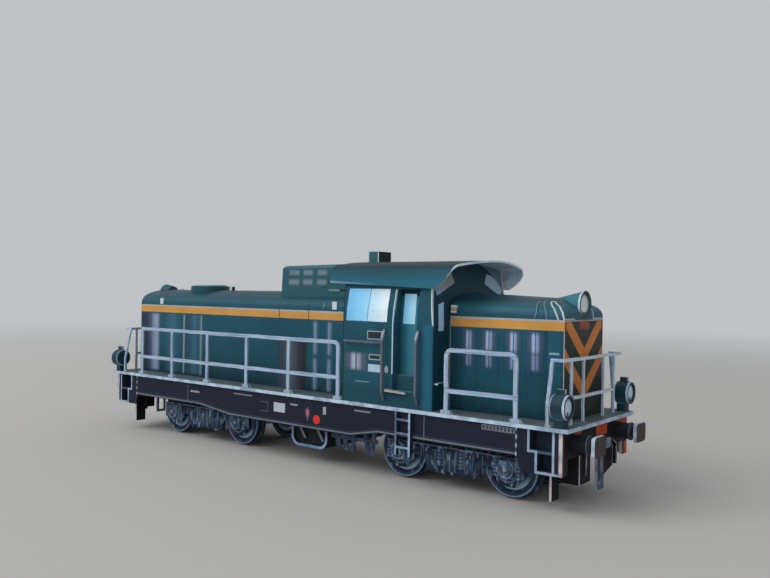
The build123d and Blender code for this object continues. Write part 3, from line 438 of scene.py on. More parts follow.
# Wheels: laminated discs of card on a rolled paper axle. The face is printed with a pale dish between
# a dark hub and a dark ring, and the rim shows the edges of its layers.
WHEEL_FACE = 9.6
LAYER = 0.5  # mm of card in a wheel's rim
for end, letter, way in (("rear", "a", -1), ("rear", "b", 1), ("front", "a", -1), ("front", "b", 1)):
    name = f"wheelset_{end}_{letter}"
    x = bogie_centres[end] + way * AXLE_REACH
    sheet = new_sheet("wheel_card_" + name)
    radius = away_from(sheet, (x, 0, AXLE_Z), (1, 0, 1))
    colour = shade(sheet, "#262D37", radius, (
        (0.0, "#6E7A8A", 1), (0.8, "#7C8A9A", 1), (1.0, "#2A2F37", 1), (1.7, "#465674", 1),
        (2.2, "#2C3546", 1), (3.0, "#2A3548", 1), (4.0, "#3C4C66", 1), (4.7, "#465874", 1),
        (4.85, "#202A38", 1), (5.15, "#202938", 1), (5.75, "#2C384C", 1), (5.85, "#667C96", 1),
        (6.1, "#667C96", 1), (6.15, "#283344", 1), (6.7, "#323F54", 1),
    ), (sheet.on_y, *FACING))
    colour = shade(sheet, colour, radius, (
        (3.2, "#93AECB", 0), (3.9, "#93AECB", 0.9), (4.5, "#A4BEDA", 1), (4.75, "#A4BEDA", 0),
    ), (sheet.on_y, *FACING), (sheet.z, 0.5, 4.2, 2.0))
    colour = flecks(sheet, colour, 0.3, (sheet.on_y, *FACING))
    layer = add(sheet.tree, "Math", {0: sheet.side, 1: LAYER}, operation="MODULO")
    rim = ((sheet.on_y, *ASIDE), (radius, 5.8, 7))
    colour = ink(sheet, colour, "#2C3646", *rim)
    colour = ink(sheet, colour, "#1E2530", *rim, (layer, 0.0, 0.12))
    colour = ink(sheet, colour, "#7C92AC", *rim, (sheet.side, WHEEL_FACE - 0.22, WHEEL_FACE + 0.1))
    dress(finish(sheet, colour, None, 0.5), name)

# Tank and hangers: folded dark card below the floor. The tank's rim and its two straps are glued on
# from thick card left pale, and the hangers are pale strips.
TANK_FACE = 11.6
sheet = new_sheet("tank_card")
pale = inside(sheet, ((sheet.side, TANK_FACE - 0.15, TANK_FACE + 0.1), (sheet.on_y, *FACING)))
strap = inside(sheet, ((sheet.side, TANK_FACE - 0.35, TANK_FACE - 0.1), (sheet.on_y, *FACING)))
colour = add(sheet.tree, "Mix", {0: strap, 6: "#20242A", 7: "#6F7A88"}, data_type="RGBA")
dress(finish(sheet, colour, pale, 0.6, "#8CA6CC", "#627898"), "tank")
sheet = new_sheet("hanger_card")
colour = flecks(sheet, "#3C4A60", 0.4, (sheet.on_y, *FACING))
dress(finish(sheet, colour, edge_of(sheet, sheet.on_y), 0.6, "#7C92AC", "#46546A"), "hangers")

# Long hood: one sheet of thin card scored and rolled into an arch, printed teal green.
# The print carries the orange stripe with its white line, panel seams and grey graded louvres.
TEAL = "#1E4E5F"
# TEAL_DARK serves for printed seams and also for painted shade low on the hoods and cab.
TEAL_DARK = "#13323F"
TEAL_LIGHT = "#2E5F6E"
ORANGE = "#C6924A"
STRIPE_WHITE = "#A6A9AC"
STRIPE_Z = (35.2, 37.0)
STRIPE_TOP = 37.4
DECK_TOP = 17.1


def stripe(sheet, colour):
    """The orange stripe with a white line above it, along a hood's sides."""
    colour = ink(sheet, colour, ORANGE, (sheet.z, *STRIPE_Z), (sheet.on_y, *FACING))
    return ink(sheet, colour, STRIPE_WHITE, (sheet.z, STRIPE_Z[1], STRIPE_TOP), (sheet.on_z, -1, 0.8))


def seams(sheet, colour, places, low, high, dark=TEAL_DARK, light=TEAL_LIGHT, width=0.14):
    """Printed door seams: a dark line with a lighter one beside it."""
    for x in places:
        colour = shade(sheet, colour, sheet.x, (
            (x - width, dark, 0), (x, dark, 1), (x + width, light, 0.7), (x + 2.5 * width, light, 0),
        ), (sheet.z, low, high), (sheet.on_y, *FACING))
    return colour


def louvre(sheet, colour, x, half, low, high, bright, halo, cover=1.0):
    """A printed louvre: pale streaks down the middle of a dark violet-grey band, all fading out softly."""
    return shade(sheet, colour, sheet.x, (
        (x - 1.15 * half, halo, 0), (x - 0.8 * half, halo, 0.6 * cover), (x - 0.5 * half, halo, cover),
        (x - 0.26 * half, bright, cover), (x - 0.06 * half, bright, cover),
        (x + 0.06 * half, halo, 0.6 * cover), (x + 0.2 * half, bright, 0.85 * cover),
        (x + 0.34 * half, bright, 0.6 * cover),
        (x + 0.6 * half, halo, 0.9 * cover), (x + 0.85 * half, halo, 0.6 * cover), (x + 1.15 * half, halo, 0),
    ), (sheet.on_y, *FACING), (sheet.z, low, high, 0.9))


def chevrons(sheet, colour):
    """Two orange chevrons on the outer end of a hood."""
    black_green = "#1E2A24"
    slope = 0.87
    half_band = 1.65
    tips = (29.85, 22.2)
    on_end = (sheet.on_x, *FACING)
    hood_end = (sheet.end, 69, 73)
    colour = ink(sheet, colour, black_green, on_end, hood_end, (sheet.z, DECK_TOP, STRIPE_TOP))
    for tip in tips:
        v_line = add(sheet.tree, "Math", {0: sheet.side, 1: slope, 2: tip}, operation="MULTIPLY_ADD")
        above = add(sheet.tree, "Math", {0: sheet.z, 1: v_line}, operation="SUBTRACT")
        colour = ink(sheet, colour, "#C2742E", on_end, (above, -half_band, half_band),
                     (sheet.z, 17, 37.0), hood_end)
    colour = ink(sheet, colour, STRIPE_WHITE, on_end, hood_end,
                 (sheet.z, STRIPE_Z[1] + 0.1, STRIPE_TOP - 0.1))
    colour = ink(sheet, colour, "#8C4232", on_end, hood_end,
                 (sheet.side, -2.2, 2.2, 0.8), (sheet.z, 35.4, 37.2, 0.6))
    return ink(sheet, colour, "#8A3A26", on_end, (sheet.side, 8.5, 9.3), (sheet.z, 35.2, 36.9), hood_end)


louvre_bands = (
    # x, colour, cover, from the outer end to the cab
    (-71.8, "#1E2C3C", 0.0), (-70.9, "#24303F", 0.8), (-69.6, "#262D40", 1), (-68.2, "#363B52", 1),
    (-66.6, "#4A5570", 1), (-65.5, "#74849F", 1), (-64.5, "#8495B0", 1), (-63.5, "#8899B2", 1),
    (-62.7, "#6A7C90", 0.8), (-61.9, "#2B4A5A", 0.5), (-61.0, TEAL, 0), (-60.2, "#31556C", 0.0),
    (-57.6, "#365E76", 0.7), (-55.4, "#3A647E", 0.8), (-53.2, "#305870", 0.5), (-51.2, "#2B5060", 0.5),
    (-50.7, "#6F8794", 0.9), (-50.5, "#94A7B2", 1), (-50.3, "#6F8794", 0.9), (-49.9, "#28485A", 0.7),
    (-47.6, "#2E5066", 0.8), (-45.6, "#3D6880", 0.9), (-43.6, "#2F566C", 0.7), (-42.8, "#6C8592", 0.9),
    (-42.5, "#7E95A0", 0.9), (-42.1, "#3A6070", 0.5), (-41.6, TEAL, 0),
)
louvre_panel = (
    (-11.6, "#26404C", 0.0), (-10.8, "#2C404E", 0.8), (-9.4, "#35424F", 1), (-8.0, "#454D5A", 1),
    (-6.2, "#535A66", 1), (-5.0, "#4C525E", 1), (-3.2, "#343842", 1), (-1.1, "#232A31", 1),
    (0.1, "#22343A", 0.2),
)
sheet = new_sheet("long_hood_card")
on_side = (sheet.on_y, *FACING)
# Painted shade: the hood sides darken towards the deck.
colour = shade(sheet, TEAL, sheet.z, (
    (DECK_TOP, TEAL_DARK, 0.9), (20.5, TEAL_DARK, 0.4), (27.0, TEAL, 0),
), on_side)
# Painted shade: the hood darkens towards its crown.
colour = shade(sheet, colour, sheet.z, (
    (39.0, TEAL, 0), (40.6, "#1B4250", 0.8), (42.4, "#1A3C46", 1), (43.0, "#183840", 1),
))
colour = shade(sheet, colour, sheet.x, louvre_bands, on_side, (sheet.z, DECK_TOP + 0.6, 34.7, 0.8))
colour = shade(sheet, colour, sheet.x, louvre_panel, on_side, (sheet.z, DECK_TOP - 1, 29.4, 0.8))
for x in (2.45, 7.25):
    for low, high in ((17.6, 25.4), (26.4, 34.6)):
        colour = louvre(sheet, colour, x, 1.05, low, high, "#7C91AA", "#44627A")
colour = seams(sheet, colour, (-36.4, -30.3, -20.4), 18.0, 35.0)
colour = stripe(sheet, colour)
colour = seams(sheet, colour, (-10.7, 0.0), 33.4, 39.6, "#10181A", TEAL)
colour = ink(sheet, colour, STRIPE_WHITE, (sheet.x, 5.0, 5.2), (sheet.z, 38.0, 39.5), (sheet.side, 7, 10),
             cover=0.5)
colour = chevrons(sheet, colour)
dress(finish(sheet, colour, None, 0.42), "hood_long")

# Short hood: the same teal card, its outer end cut into petals that are drawn together into a dome.
# The petals' slits show white edges, and each door carries a tall graded louvre in two halves.
sheet = new_sheet("short_hood_card")
tree = sheet.tree
on_side = (sheet.on_y, *FACING)
# Painted shade: the hood sides darken towards the deck.
colour = shade(sheet, TEAL, sheet.z, (
    (DECK_TOP, TEAL_DARK, 0.9), (19.5, TEAL_DARK, 0.3), (26.0, TEAL, 0),
), on_side)
# Painted light: a lighter band on the shoulder, darkening towards the top of the crown.
colour = shade(sheet, colour, sheet.z, (
    (38.0, TEAL, 0), (39.4, "#2A6272", 0.9), (40.6, "#245058", 1), (41.6, "#223E40", 1),
))
# Painted shade: the sides darken next to the cab. Towards the dome end they carry lighter and darker bands.
colour = shade(sheet, colour, sheet.x, (
    (43.0, TEAL_DARK, 0.5), (45.0, TEAL, 0), (62.0, TEAL, 0), (66.4, TEAL_DARK, 0.3),
    (66.9, "#23596C", 0.8), (69.4, "#1F5062", 0.7), (70.3, TEAL_DARK, 0.6),
), on_side)
for x, half in ((47.9, 1.5), (52.9, 1.65), (58.75, 1.65), (63.8, 1.75)):
    colour = louvre(sheet, colour, x, 1.05 * half, 30.5, 34.4, "#9CB0D0", "#4A546E")
    colour = louvre(sheet, colour, x, half, 26.9, 30.2, "#8498B8", "#434E68", 0.85)
colour = seams(sheet, colour, (44.9, 50.4, 55.7, 60.9, 66.6), 18.0, 35.0)
colour = ink(sheet, colour, "#8FA0AC", (sheet.x, 67.0, 69.2), (sheet.z, 30.4, 30.8), on_side)
colour = stripe(sheet, colour)
colour = ink(sheet, colour, "#7E8E94", (sheet.x, 43.0, 43.3), (sheet.z, DECK_TOP, STRIPE_TOP), on_side)
colour = ink(sheet, colour, STRIPE_WHITE, (sheet.x, 70.1, 70.4), (sheet.z, DECK_TOP, STRIPE_Z[0]), on_side)
petal_slits = (
    # (z, x) down to up along the slit, half width, colour, cover
    (((37.4, 63.6), (38.5, 63.85), (39.5, 63.7), (40.9, 62.8)), 0.08, "#8FA6AC", 0.6),
    (((37.4, 63.8), (38.5, 64.1), (39.5, 64.0), (40.9, 63.1)), 0.1, "#10242C", 0.85),
    (((37.4, 66.35), (38.8, 66.0), (40.0, 65.1), (40.9, 63.9)), 0.1, "#8DA2A8", 0.55),
    (((37.4, 68.9), (38.6, 68.3), (39.6, 67.5), (40.9, 65.4)), 0.19, "#BAC2C2", 0.95),
    (((37.4, 70.2), (38.9, 69.6), (40.05, 68.4), (41.1, 65.8)), 0.19, "#BAC2C2", 0.95),
)
for points, half, slit_colour, cover in petal_slits:
    off = add(tree, "Math", {0: sheet.x, 1: bent(sheet, sheet.z, points)}, operation="SUBTRACT")
    colour = ink(sheet, colour, slit_colour, (off, -half, half, 0.12), (sheet.z, 37.4, 41.1),
                 (sheet.side, 4.6, 10), cover=cover)
colour = ink(sheet, colour, "#B4BCBC", (sheet.y, 4.1, 4.45), (sheet.z, STRIPE_TOP, 40.4), (sheet.x, 69.6, 72))
colour = chevrons(sheet, colour)
dress(finish(sheet, colour, None, 0.42), "hood_short")

# Vent box: a low box folded from the same teal card and glued on the long hood behind the cab.
# Two rows of soft grey grilles are printed along its sides.
sheet = new_sheet("vent_card")
colour = shade(sheet, "#26545F", sheet.z, ((44.0, "#26545F", 0), (49.0, "#2B5A64", 1)))
for x0, x1 in ((-9.7, -6.0), (-4.5, -1.3), (0.5, 3.7)):
    for z0, z1 in ((46.4, 47.8), (43.9, 45.4)):
        middle = (z0 + z1) / 2
        colour = shade(sheet, colour, sheet.z, (
            (z0 - 0.3, "#5E7080", 0), (z0 + 0.2, "#5E7080", 0.9), (middle - 0.15, "#76828F", 1),
            (middle, "#607080", 1), (middle + 0.15, "#76828F", 1), (z1 - 0.2, "#5E7080", 0.9),
            (z1 + 0.3, "#5E7080", 0),
        ), (sheet.x, x0, x1, 0.7), (sheet.on_y, *FACING))
colour = ink(sheet, colour, "#7F959A", (sheet.x, 4.6, 8.2), (sheet.z, 42.5, 42.8), (sheet.on_y, *FACING))
# Painted shadow: a dark strip along the foot of the side.
colour = ink(sheet, colour, "#12262C", (sheet.x, 8.4, 12.5), (sheet.z, 42.4, 42.9), (sheet.on_y, *FACING))
dress(finish(sheet, colour, None, 0.42), "vent_box")

# Round cover on the long hood: a disc of layered card, dark teal, its lid's rim worn pale blue.
# The small cap beside it is a snippet of white card with a dark end.
sheet = new_sheet("cover_card")
colour = ink(sheet, "#234E5C", "#8FB0BA", (sheet.z, 43.25, 43.8))
colour = ink(sheet, colour, "#2C5662", (sheet.z, 43.5, 43.8), (sheet.up, *FACING))
colour = ink(sheet, colour, "#C2C6C4", (sheet.x, -41.2, -39.7), (sheet.z, 40, 43.4))
colour = ink(sheet, colour, "#2A2E30", (sheet.x, -39.7, -39.0), (sheet.z, 40, 43.4))
dress(finish(sheet, colour, None, 0.45), "hood_cover")

# Cab: side walls, doors and end walls of card printed dark green.
# Openings, corners and jambs show the white core of the card.
CAB_GREEN = "#1F4F5F"
# A darker copy of the cab green for the end walls: painted shade.
CAB_GREEN_SHADED = "#173E4A"
PLATE_RIM = 0.25
OVAL_PLACE = (30.5, 0, 25.1)
OVAL_HALF = (0.5, 0.85)
ARCH_MIDDLE = (0, 0, 31.2)
ARCH_RADIUS = 18.6
sheet = new_sheet("cab_side_card")
on_side = (sheet.on_y, *FACING)
# Painted shade: the cab sides darken low down, towards the deck.
colour = shade(sheet, CAB_GREEN, sheet.z, (
    (17.1, TEAL_DARK, 0.25), (20.0, TEAL_DARK, 0.45), (21.5, TEAL_DARK, 0.2), (24.0, TEAL_DARK, 0),
), on_side)
# Painted light: across the front corner the side is lighter and bluer where it rounds the corner, darker just
# before it.
colour = shade(sheet, colour, sheet.x, (
    (38.7, "#1B4450", 0.8), (39.9, "#1D4A5A", 0.8), (40.8, "#255E76", 1), (42.2, "#255E76", 1),
    (43.1, "#1F5064", 0.8),
), on_side, (sheet.z, 17, 35.4))
colour = louvre(sheet, colour, 21.4, 3.2, 24.6, 28.2, "#A7AEC0", "#5A5C74")
for x0, x1, z0, z1 in ((24.8, 29.1, 31.6, 33.6), (25.4, 28.8, 27.0, 28.3)):
    colour = ink(sheet, colour, "#93A2AE", on_side, (sheet.x, x0, x1), (sheet.z, z0, z1))
    colour = ink(sheet, colour, "#26313A", on_side, (sheet.x, x0 + PLATE_RIM, x1 - PLATE_RIM),
                 (sheet.z, z0 + PLATE_RIM, z1 - PLATE_RIM))
colour = ink(sheet, colour, "#A8C0D2", on_side, (sheet.x, 25.2, 28.9), (sheet.z, 24.3, 26.0))
colour = shade(sheet, colour, sheet.x, (
    (21.0, "#6F949C", 0), (21.8, "#6F949C", 0.8), (25.0, "#6F949C", 0.8), (26.0, "#6F949C", 0),
), on_side, (sheet.z, 21.75, 22.0))
from_oval = away_from(sheet, OVAL_PLACE, (1 / OVAL_HALF[0], 0, 1 / OVAL_HALF[1]))
colour = ink(sheet, colour, "#A4ADB8", on_side, (from_oval, -1, 1))
colour = ink(sheet, colour, TEAL_DARK, on_side, (sheet.x, 17.5, 17.8))
# Pale lines on the face along the door jamb and the front corner stand for the card's white cut edge there,
# drawn wider and brighter than the edge itself renders: real paper edge and painted light.
jamb = ((24.0, 32.2), (35.3, 32.2), (42.9, 32.78))
from_jamb = add(sheet.tree, "Math", {0: sheet.x, 1: bent(sheet, sheet.z, jamb)}, operation="SUBTRACT")
colour = ink(sheet, colour, "#BCD2E4", on_side, (from_jamb, -0.26, 0.05), (sheet.z, 24.2, 43.0))
corner = ((35.4, 43.05), (43.4, 42.3))
from_corner = add(sheet.tree, "Math", {0: sheet.x, 1: bent(sheet, sheet.z, corner)}, operation="SUBTRACT")
colour = ink(sheet, colour, "#BCD2E4", on_side, (from_corner, -0.3, 0.1), (sheet.z, 35.4, 43.4))
folded = inside(sheet, ((sheet.x, 42.0, 44), (sheet.z, 17, 35.0)))
low_jamb = inside(sheet, ((sheet.x, 31.5, 33.2), (sheet.z, 17, 24.2)))
cut = combine(sheet, "SUBTRACT", edge_of(sheet, sheet.on_y), folded, low_jamb)
dress(finish(sheet, colour, cut, 0.45, "#D3DADF", "#B4BEC6"), "cab_side_left", "cab_side_right")

sheet = new_sheet("door_card")
# Painted light and shade: the door takes a lighter copy of the cab green, standing in for light in its
# recess, and darkens towards the rear jamb as painted shade.
colour = shade(sheet, "#34788A", sheet.x, (
    (32.2, "#1E4C5A", 0.9), (34.0, "#255A6A", 0.6), (35.8, "#34788A", 0),
))
colour = ink(sheet, colour, "#16303A", (sheet.z, 41.6, 45))
colour = ink(sheet, colour, "#1B4552", (sheet.z, 17, 24.0), (sheet.on_y, *FACING))
# Painted light: the recess walls take a lighter copy of the cab green.
colour = ink(sheet, colour, "#265866", (sheet.side, 13.4, 15.5), (sheet.on_x, *FACING))
colour = shade(sheet, colour, sheet.z, (
    (23.9, "#42616A", 0), (24.0, "#4F6F78", 0.8), (24.25, "#4F6F78", 0.8), (24.35, "#42616A", 0),
), (sheet.on_y, *FACING))
dress(finish(sheet, colour, None, 0.5), "door_left", "door_right")

sheet = new_sheet("cab_end_card")
from_arch = away_from(sheet, ARCH_MIDDLE, (0, 1, 1))
# Painted shade: the end walls take the darker copy of the cab green.
colour = ink(sheet, CAB_GREEN_SHADED, "#6E7A82", (from_arch, ARCH_RADIUS, 40), (sheet.z, 36.0, 50))
dress(finish(sheet, colour, edge_of(sheet, sheet.on_x), 0.5), "cab_front_wall", "cab_rear_wall")

# Window prints: pale blue fading to white towards the front, as sky caught in glass.
# The front windows are printed duller, with grey where the visor shades them.
PANE_LEAN = -0.108  # mm that the panes' upright lines lean for each mm of height
PANE_SHIFT = 3.877  # mm that undoes the lean at the panes' foot
sheet = new_sheet("window_print")
on_front = (sheet.on_x, 0.5, 1.1)
colour = shade(sheet, "#A8CCF0", sheet.z, (
    (41.0, "#86A8DA", 0), (42.0, "#86A8DA", 1), (43.4, "#8C9CB4", 1), (44.6, "#9A9896", 1),
    (50.0, "#8E9AA8", 1),
), on_front)
# Painted light: the far front window is printed lighter than the near one.
colour = ink(sheet, colour, "#9FB6CE", (sheet.y, 0, 20), (sheet.z, 41, 50), on_front)
lean = add(sheet.tree, "Math", {0: sheet.z, 1: PANE_LEAN, 2: PANE_SHIFT}, operation="MULTIPLY_ADD")
upright = add(sheet.tree, "Math", {0: sheet.x, 1: lean}, operation="ADD")
colour = shade(sheet, colour, upright, (
    (18.4, "#74C0F0", 1), (21.5, "#88CCF4", 1), (24.5, "#9AD6F6", 1), (24.8, "#B4DCF2", 1),
    (27.0, "#C8E6F4", 1), (29.0, "#DFEEF5", 1), (31.6, "#E8F0F5", 1),
), (sheet.side, 15, 17), (sheet.on_y, *FACING))
colour = shade(sheet, colour, sheet.x, (
    (32.6, "#8AD6FF", 1), (35.0, "#A6E0FF", 1), (37.0, "#C4EAFC", 1),
), (sheet.side, 12, 14.2), (sheet.on_y, *FACING))
colour = ink(sheet, colour, "#4A7390", (upright, 24.6, 24.78), (sheet.side, 15, 17))
dress(finish(sheet, colour, None, 0.4), "cab_panes")

# Cab roof: one sheet rolled over the cab and out into the visor, teal outside, bare card underneath.
# The glued flap along the rear half of the eaves has sprung open and shows as a pale strip.
EAVE_X = (13.6, 43.05)
EAVE_Z = (44.4, 43.3)
sheet = new_sheet("roof_card")
tree = sheet.tree
under = add(tree, "Math", {0: sheet.up, 1: 0.02}, operation="LESS_THAN")
steep = add(tree, "Math", {0: sheet.side, 1: 15.95}, operation="LESS_THAN")
inner = combine(sheet, "MULTIPLY", under, steep)
front = add(tree, "Math", {0: edge_of(sheet, sheet.on_x, 0.75), 1: -1.0, 2: 1.0}, operation="MULTIPLY_ADD")
bare = combine(sheet, "MAXIMUM", inner, front)
# Painted light: the roof darkens above the eaves as painted shade, and greys at the top as a painted
# reflection.
colour = shade(sheet, "#265766", sheet.z, (
    (43.0, "#2C687E", 1), (45.0, "#2B647A", 1), (46.6, "#1E4E5C", 1),
    (47.8, "#1A3E48", 1), (48.7, "#2C3E42", 1), (50, "#384446", 1),
))
eave = add(tree, "MapRange", {0: sheet.x, 1: EAVE_X[0], 2: EAVE_X[1], 3: EAVE_Z[0], 4: EAVE_Z[1]})
over_eave = add(tree, "Math", {0: sheet.z, 1: eave}, operation="SUBTRACT")
colour = shade(sheet, colour, sheet.x, (
    (EAVE_X[0], "#8C9EB2", 0.9), (15.2, "#7E90A4", 0.9), (22.0, "#72869C", 0.7), (29.0, "#5F7482", 0),
), (over_eave, -0.2, 0.42), (sheet.side, 14, 17))
dress(finish(sheet, colour, bare, 0.6, "#D2E4F2", "#B6C8D8"), "cab_roof")
sheet = new_sheet("roof_box_card")
# Painted shade: the faces looking along the model are darker than its sides.
colour = ink(sheet, "#35606A", "#1C2B2E", (sheet.on_x, *FACING))
colour = ink(sheet, colour, "#B6C2C2", (sheet.on_y, *FACING), (sheet.x, 16.8, 17.2))
colour = ink(sheet, colour, "#7E9494", (sheet.on_y, *FACING), (sheet.x, 13.8, 14.1))
dress(finish(sheet, colour, None, 0.5), "roof_box")

# Handrails: strips cut by hand from white card, never quite even, so each frame is the CAD frame
# sliced into short lengths that waver a little, with fibres showing along every strip.
RAIL_TOP = 30.9
RAIL_MID = 22.2
RAIL_WHITE = "#A2B8D0"
RAIL_GREYED = "#7F94AC"
RAIL_END_LIT = "#C6D2E0"
SLICE = 1.5       # mm between slices
WAVER = 0.11      # mm that a strip strays
SLOW_WAVE = 0.16  # bends to the mm, along a strip
QUICK_WAVE = 0.7
HELD_FOOT = 0.7   # mm above the deck where the glue holds a post straight
HELD_FADE = 2.0
NEXT_RAIL = 31.0  # mm from one rail's place in the noise to the next, so that no two waver alike
RAIL_SEED = 5     # keeps the waver the same each time
sheet = new_sheet("rail_card")
tree = sheet.tree
level_fibres = add(tree, "VectorMath", {0: sheet.mm, 1: (0.12, 1.0, 3.2)}, operation="MULTIPLY")
level_fibres = add(tree, "TexNoise", {"Vector": level_fibres, "Scale": 1.0, "Detail": 2.0})
post_fibres = add(tree, "VectorMath", {0: sheet.mm, 1: (3.2, 3.2, 0.12)}, operation="MULTIPLY")
post_fibres = add(tree, "TexNoise", {"Vector": post_fibres, "Scale": 1.0, "Detail": 2.0})
bars = combine(sheet, "MAXIMUM", inside(sheet, ((sheet.z, RAIL_MID - 0.9, RAIL_MID + 0.6),)),
               inside(sheet, ((sheet.z, RAIL_TOP - 1.5, RAIL_TOP + 0.5),)))
fibres = add(tree, "Mix", {0: bars, 6: post_fibres, 7: level_fibres}, data_type="RGBA")
streak = add(tree, "MapRange", {0: fibres.outputs[2], 1: 0.36, 2: 0.56, 3: 0.0, 4: 1.0})
colour = add(tree, "Mix", {0: streak, 6: RAIL_GREYED, 7: RAIL_WHITE}, data_type="RGBA")
# Painted light: the faces looking out past the ends of the model get a brighter white.
colour = ink(sheet, colour, RAIL_END_LIT, (sheet.outward, *FACING), cover=0.7)
rail_material = finish(sheet, colour)
rail_names = (
    "side_rail_left", "side_rail_right", "hood_rail_left", "hood_rail_right",
    "end_rail_front", "end_rail_rear",
)


def lay_out(form, name, material):
    """Makes a shaped form an object of its own."""
    mesh = bpy.data.meshes.new(name)
    form.to_mesh(mesh)
    form.free()
    mesh.materials.append(material)
    made = bpy.data.objects.new(name, mesh)
    bpy.context.collection.objects.link(made)
    return made


noise.seed_set(RAIL_SEED)
for turn_number, name in enumerate(rail_names):
    form = bmesh.new()
    form.from_mesh(nodes[name].data)
    bmesh.ops.remove_doubles(form, verts=form.verts, dist=1e-7)
    low, high = (Vector(corner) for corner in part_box(name))
    for axis in range(3):
        facing = Vector((axis == 0, axis == 1, axis == 2))
        slices = int((high[axis] - low[axis]) * 1000 / SLICE)
        for i in range(1, slices):
            bmesh.ops.bisect_plane(form, geom=form.verts[:] + form.edges[:] + form.faces[:],
                                   plane_co=low + (high - low) * i / slices, plane_no=facing, dist=1e-6)
    for vert in form.verts:
        free = min(1.0, max(0.0, (vert.co.z * 1000 - DECK_TOP - HELD_FOOT) / HELD_FADE))
        at = vert.co * 1000 + Vector((0, 0, NEXT_RAIL * turn_number))
        slow = noise.noise_vector(at * SLOW_WAVE)
        quick = noise.noise_vector(at * QUICK_WAVE)
        drift = (slow * WAVER + quick * WAVER * 0.5) * free / 1000
        vert.co += Vector((drift.x, drift.y * 0.3, drift.z))
    rail = lay_out(form, name + "_cut", rail_material)
    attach(rail, "locomotive")
    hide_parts(name)

# Dabs of white glue, where each post is stuck to the deck and beside the rear top lamp.
# They were squeezed out as the parts were set down, and dried to glossy lumps.
SIDE_POST_Y = 15.9
END_POST_X = 70.2
END_POST_Y = 15.7
NEXT_DAB = 7.0  # from one dab's place in the noise to the next, so that no two are alike
side_posts = (-61.3, -47.1, -31.6, -15.7, -0.3, 16.2, 46.7, 63.2)
sheet = new_sheet("glue")
glue_material = finish(sheet, "#A9B4BE", None, 0.25)
dab_places = []  # x, y, z, radius, height
for y in (-SIDE_POST_Y, SIDE_POST_Y):
    for x in side_posts:
        dab_places.append((x + 0.5, y * 0.97, DECK_TOP, 0.75, 0.45))
for x in (-END_POST_X, END_POST_X):
    for y in (-END_POST_Y, END_POST_Y):
        dab_places.append((x, y, DECK_TOP, 0.6, 0.4))
dab_places.append((-66.0, 1.2, 42.0, 0.9, 0.55))
form = bmesh.new()
for number, (x, y, z, radius, height) in enumerate(dab_places):
    dab = bmesh.ops.create_icosphere(form, subdivisions=3, radius=1.0)["verts"]
    for vert in dab:
        lump = 1 + 0.25 * noise.noise(vert.co * 1.3 + Vector((number * NEXT_DAB, 0, 0)))
        vert.co = Vector((x + vert.co.x * radius * lump * 1.3, y + vert.co.y * radius * lump * 0.7,
                          z + vert.co.z * height * lump)) / 1000
dabs = lay_out(form, "glue_dabs", glue_material)
dabs.data.shade_smooth()
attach(dabs, "locomotive")

# Grab rails: bowed strips of thin card beside the doors, coloured brown-grey by hand.
# They are glued on by their ends, and their upper bends are paler.
sheet = new_sheet("grab_card")
colour = shade(sheet, "#5C6272", sheet.z, (
    (31.0, "#5C6272", 0), (32.4, "#9AA2AE", 0.9), (33.6, "#9AA2AE", 0.9), (34.2, "#6A707C", 0.4),
), (sheet.end, 25, 40))
dress(finish(sheet, colour, None, 0.5), "grab_rails")

# Marker boxes: small boxes folded from white card and glued high on the sides of the hoods.
# The knife's cuts are clean, so they are even and pale, and the one beside the cab has a yellowed face.
sheet = new_sheet("marker_card")
colour = ink(sheet, "#C9D2D4", "#B5A27E", (sheet.z, 38.5, 39.3), (sheet.on_y, *FACING), (sheet.x, 40, 46))
dress(finish(sheet, colour, None, 0.5), "marker_boxes")

# Door steps: one strip of bare thick card glued flat below each door.
# The knife ran out at their front ends, which are narrower, and all their edges are a little rounded.
STRIP_X = 33.7
STRIP_Y = 16.5
STRIP_Z = 20.5
STRIP_LONG = 5.4
STRIP_DEEP = 0.9
STRIP_HIGH = 0.5
STRIP_TIP = 0.35    # the share of the depth that is left at the front end
STRIP_SAG = 0.25    # mm from the rear end to the front end
STRIP_ROUND = 0.08
sheet = new_sheet("door_step_card")
step_material = finish(sheet, "#A8A6A4", None, 0.55)
for name, side in (("door_step_right", -1), ("door_step_left", 1)):
    form = bmesh.new()
    strip = bmesh.ops.create_cube(form, size=1.0)["verts"]
    for vert in strip:
        taper = STRIP_TIP if vert.co.x > 0 else 1.0
        x = STRIP_X + vert.co.x * STRIP_LONG
        y = side * (STRIP_Y + vert.co.y * STRIP_DEEP * taper)
        z = STRIP_Z - STRIP_SAG * vert.co.x + vert.co.z * STRIP_HIGH * (0.6 + 0.4 * taper)
        vert.co = Vector((x, y, z)) / 1000
    bmesh.ops.bevel(form, geom=form.edges[:], offset=STRIP_ROUND / 1000, segments=2, profile=0.5,
                    affect="EDGES", material=-1)
    step_strip = lay_out(form, name, step_material)
    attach(step_strip, "locomotive")

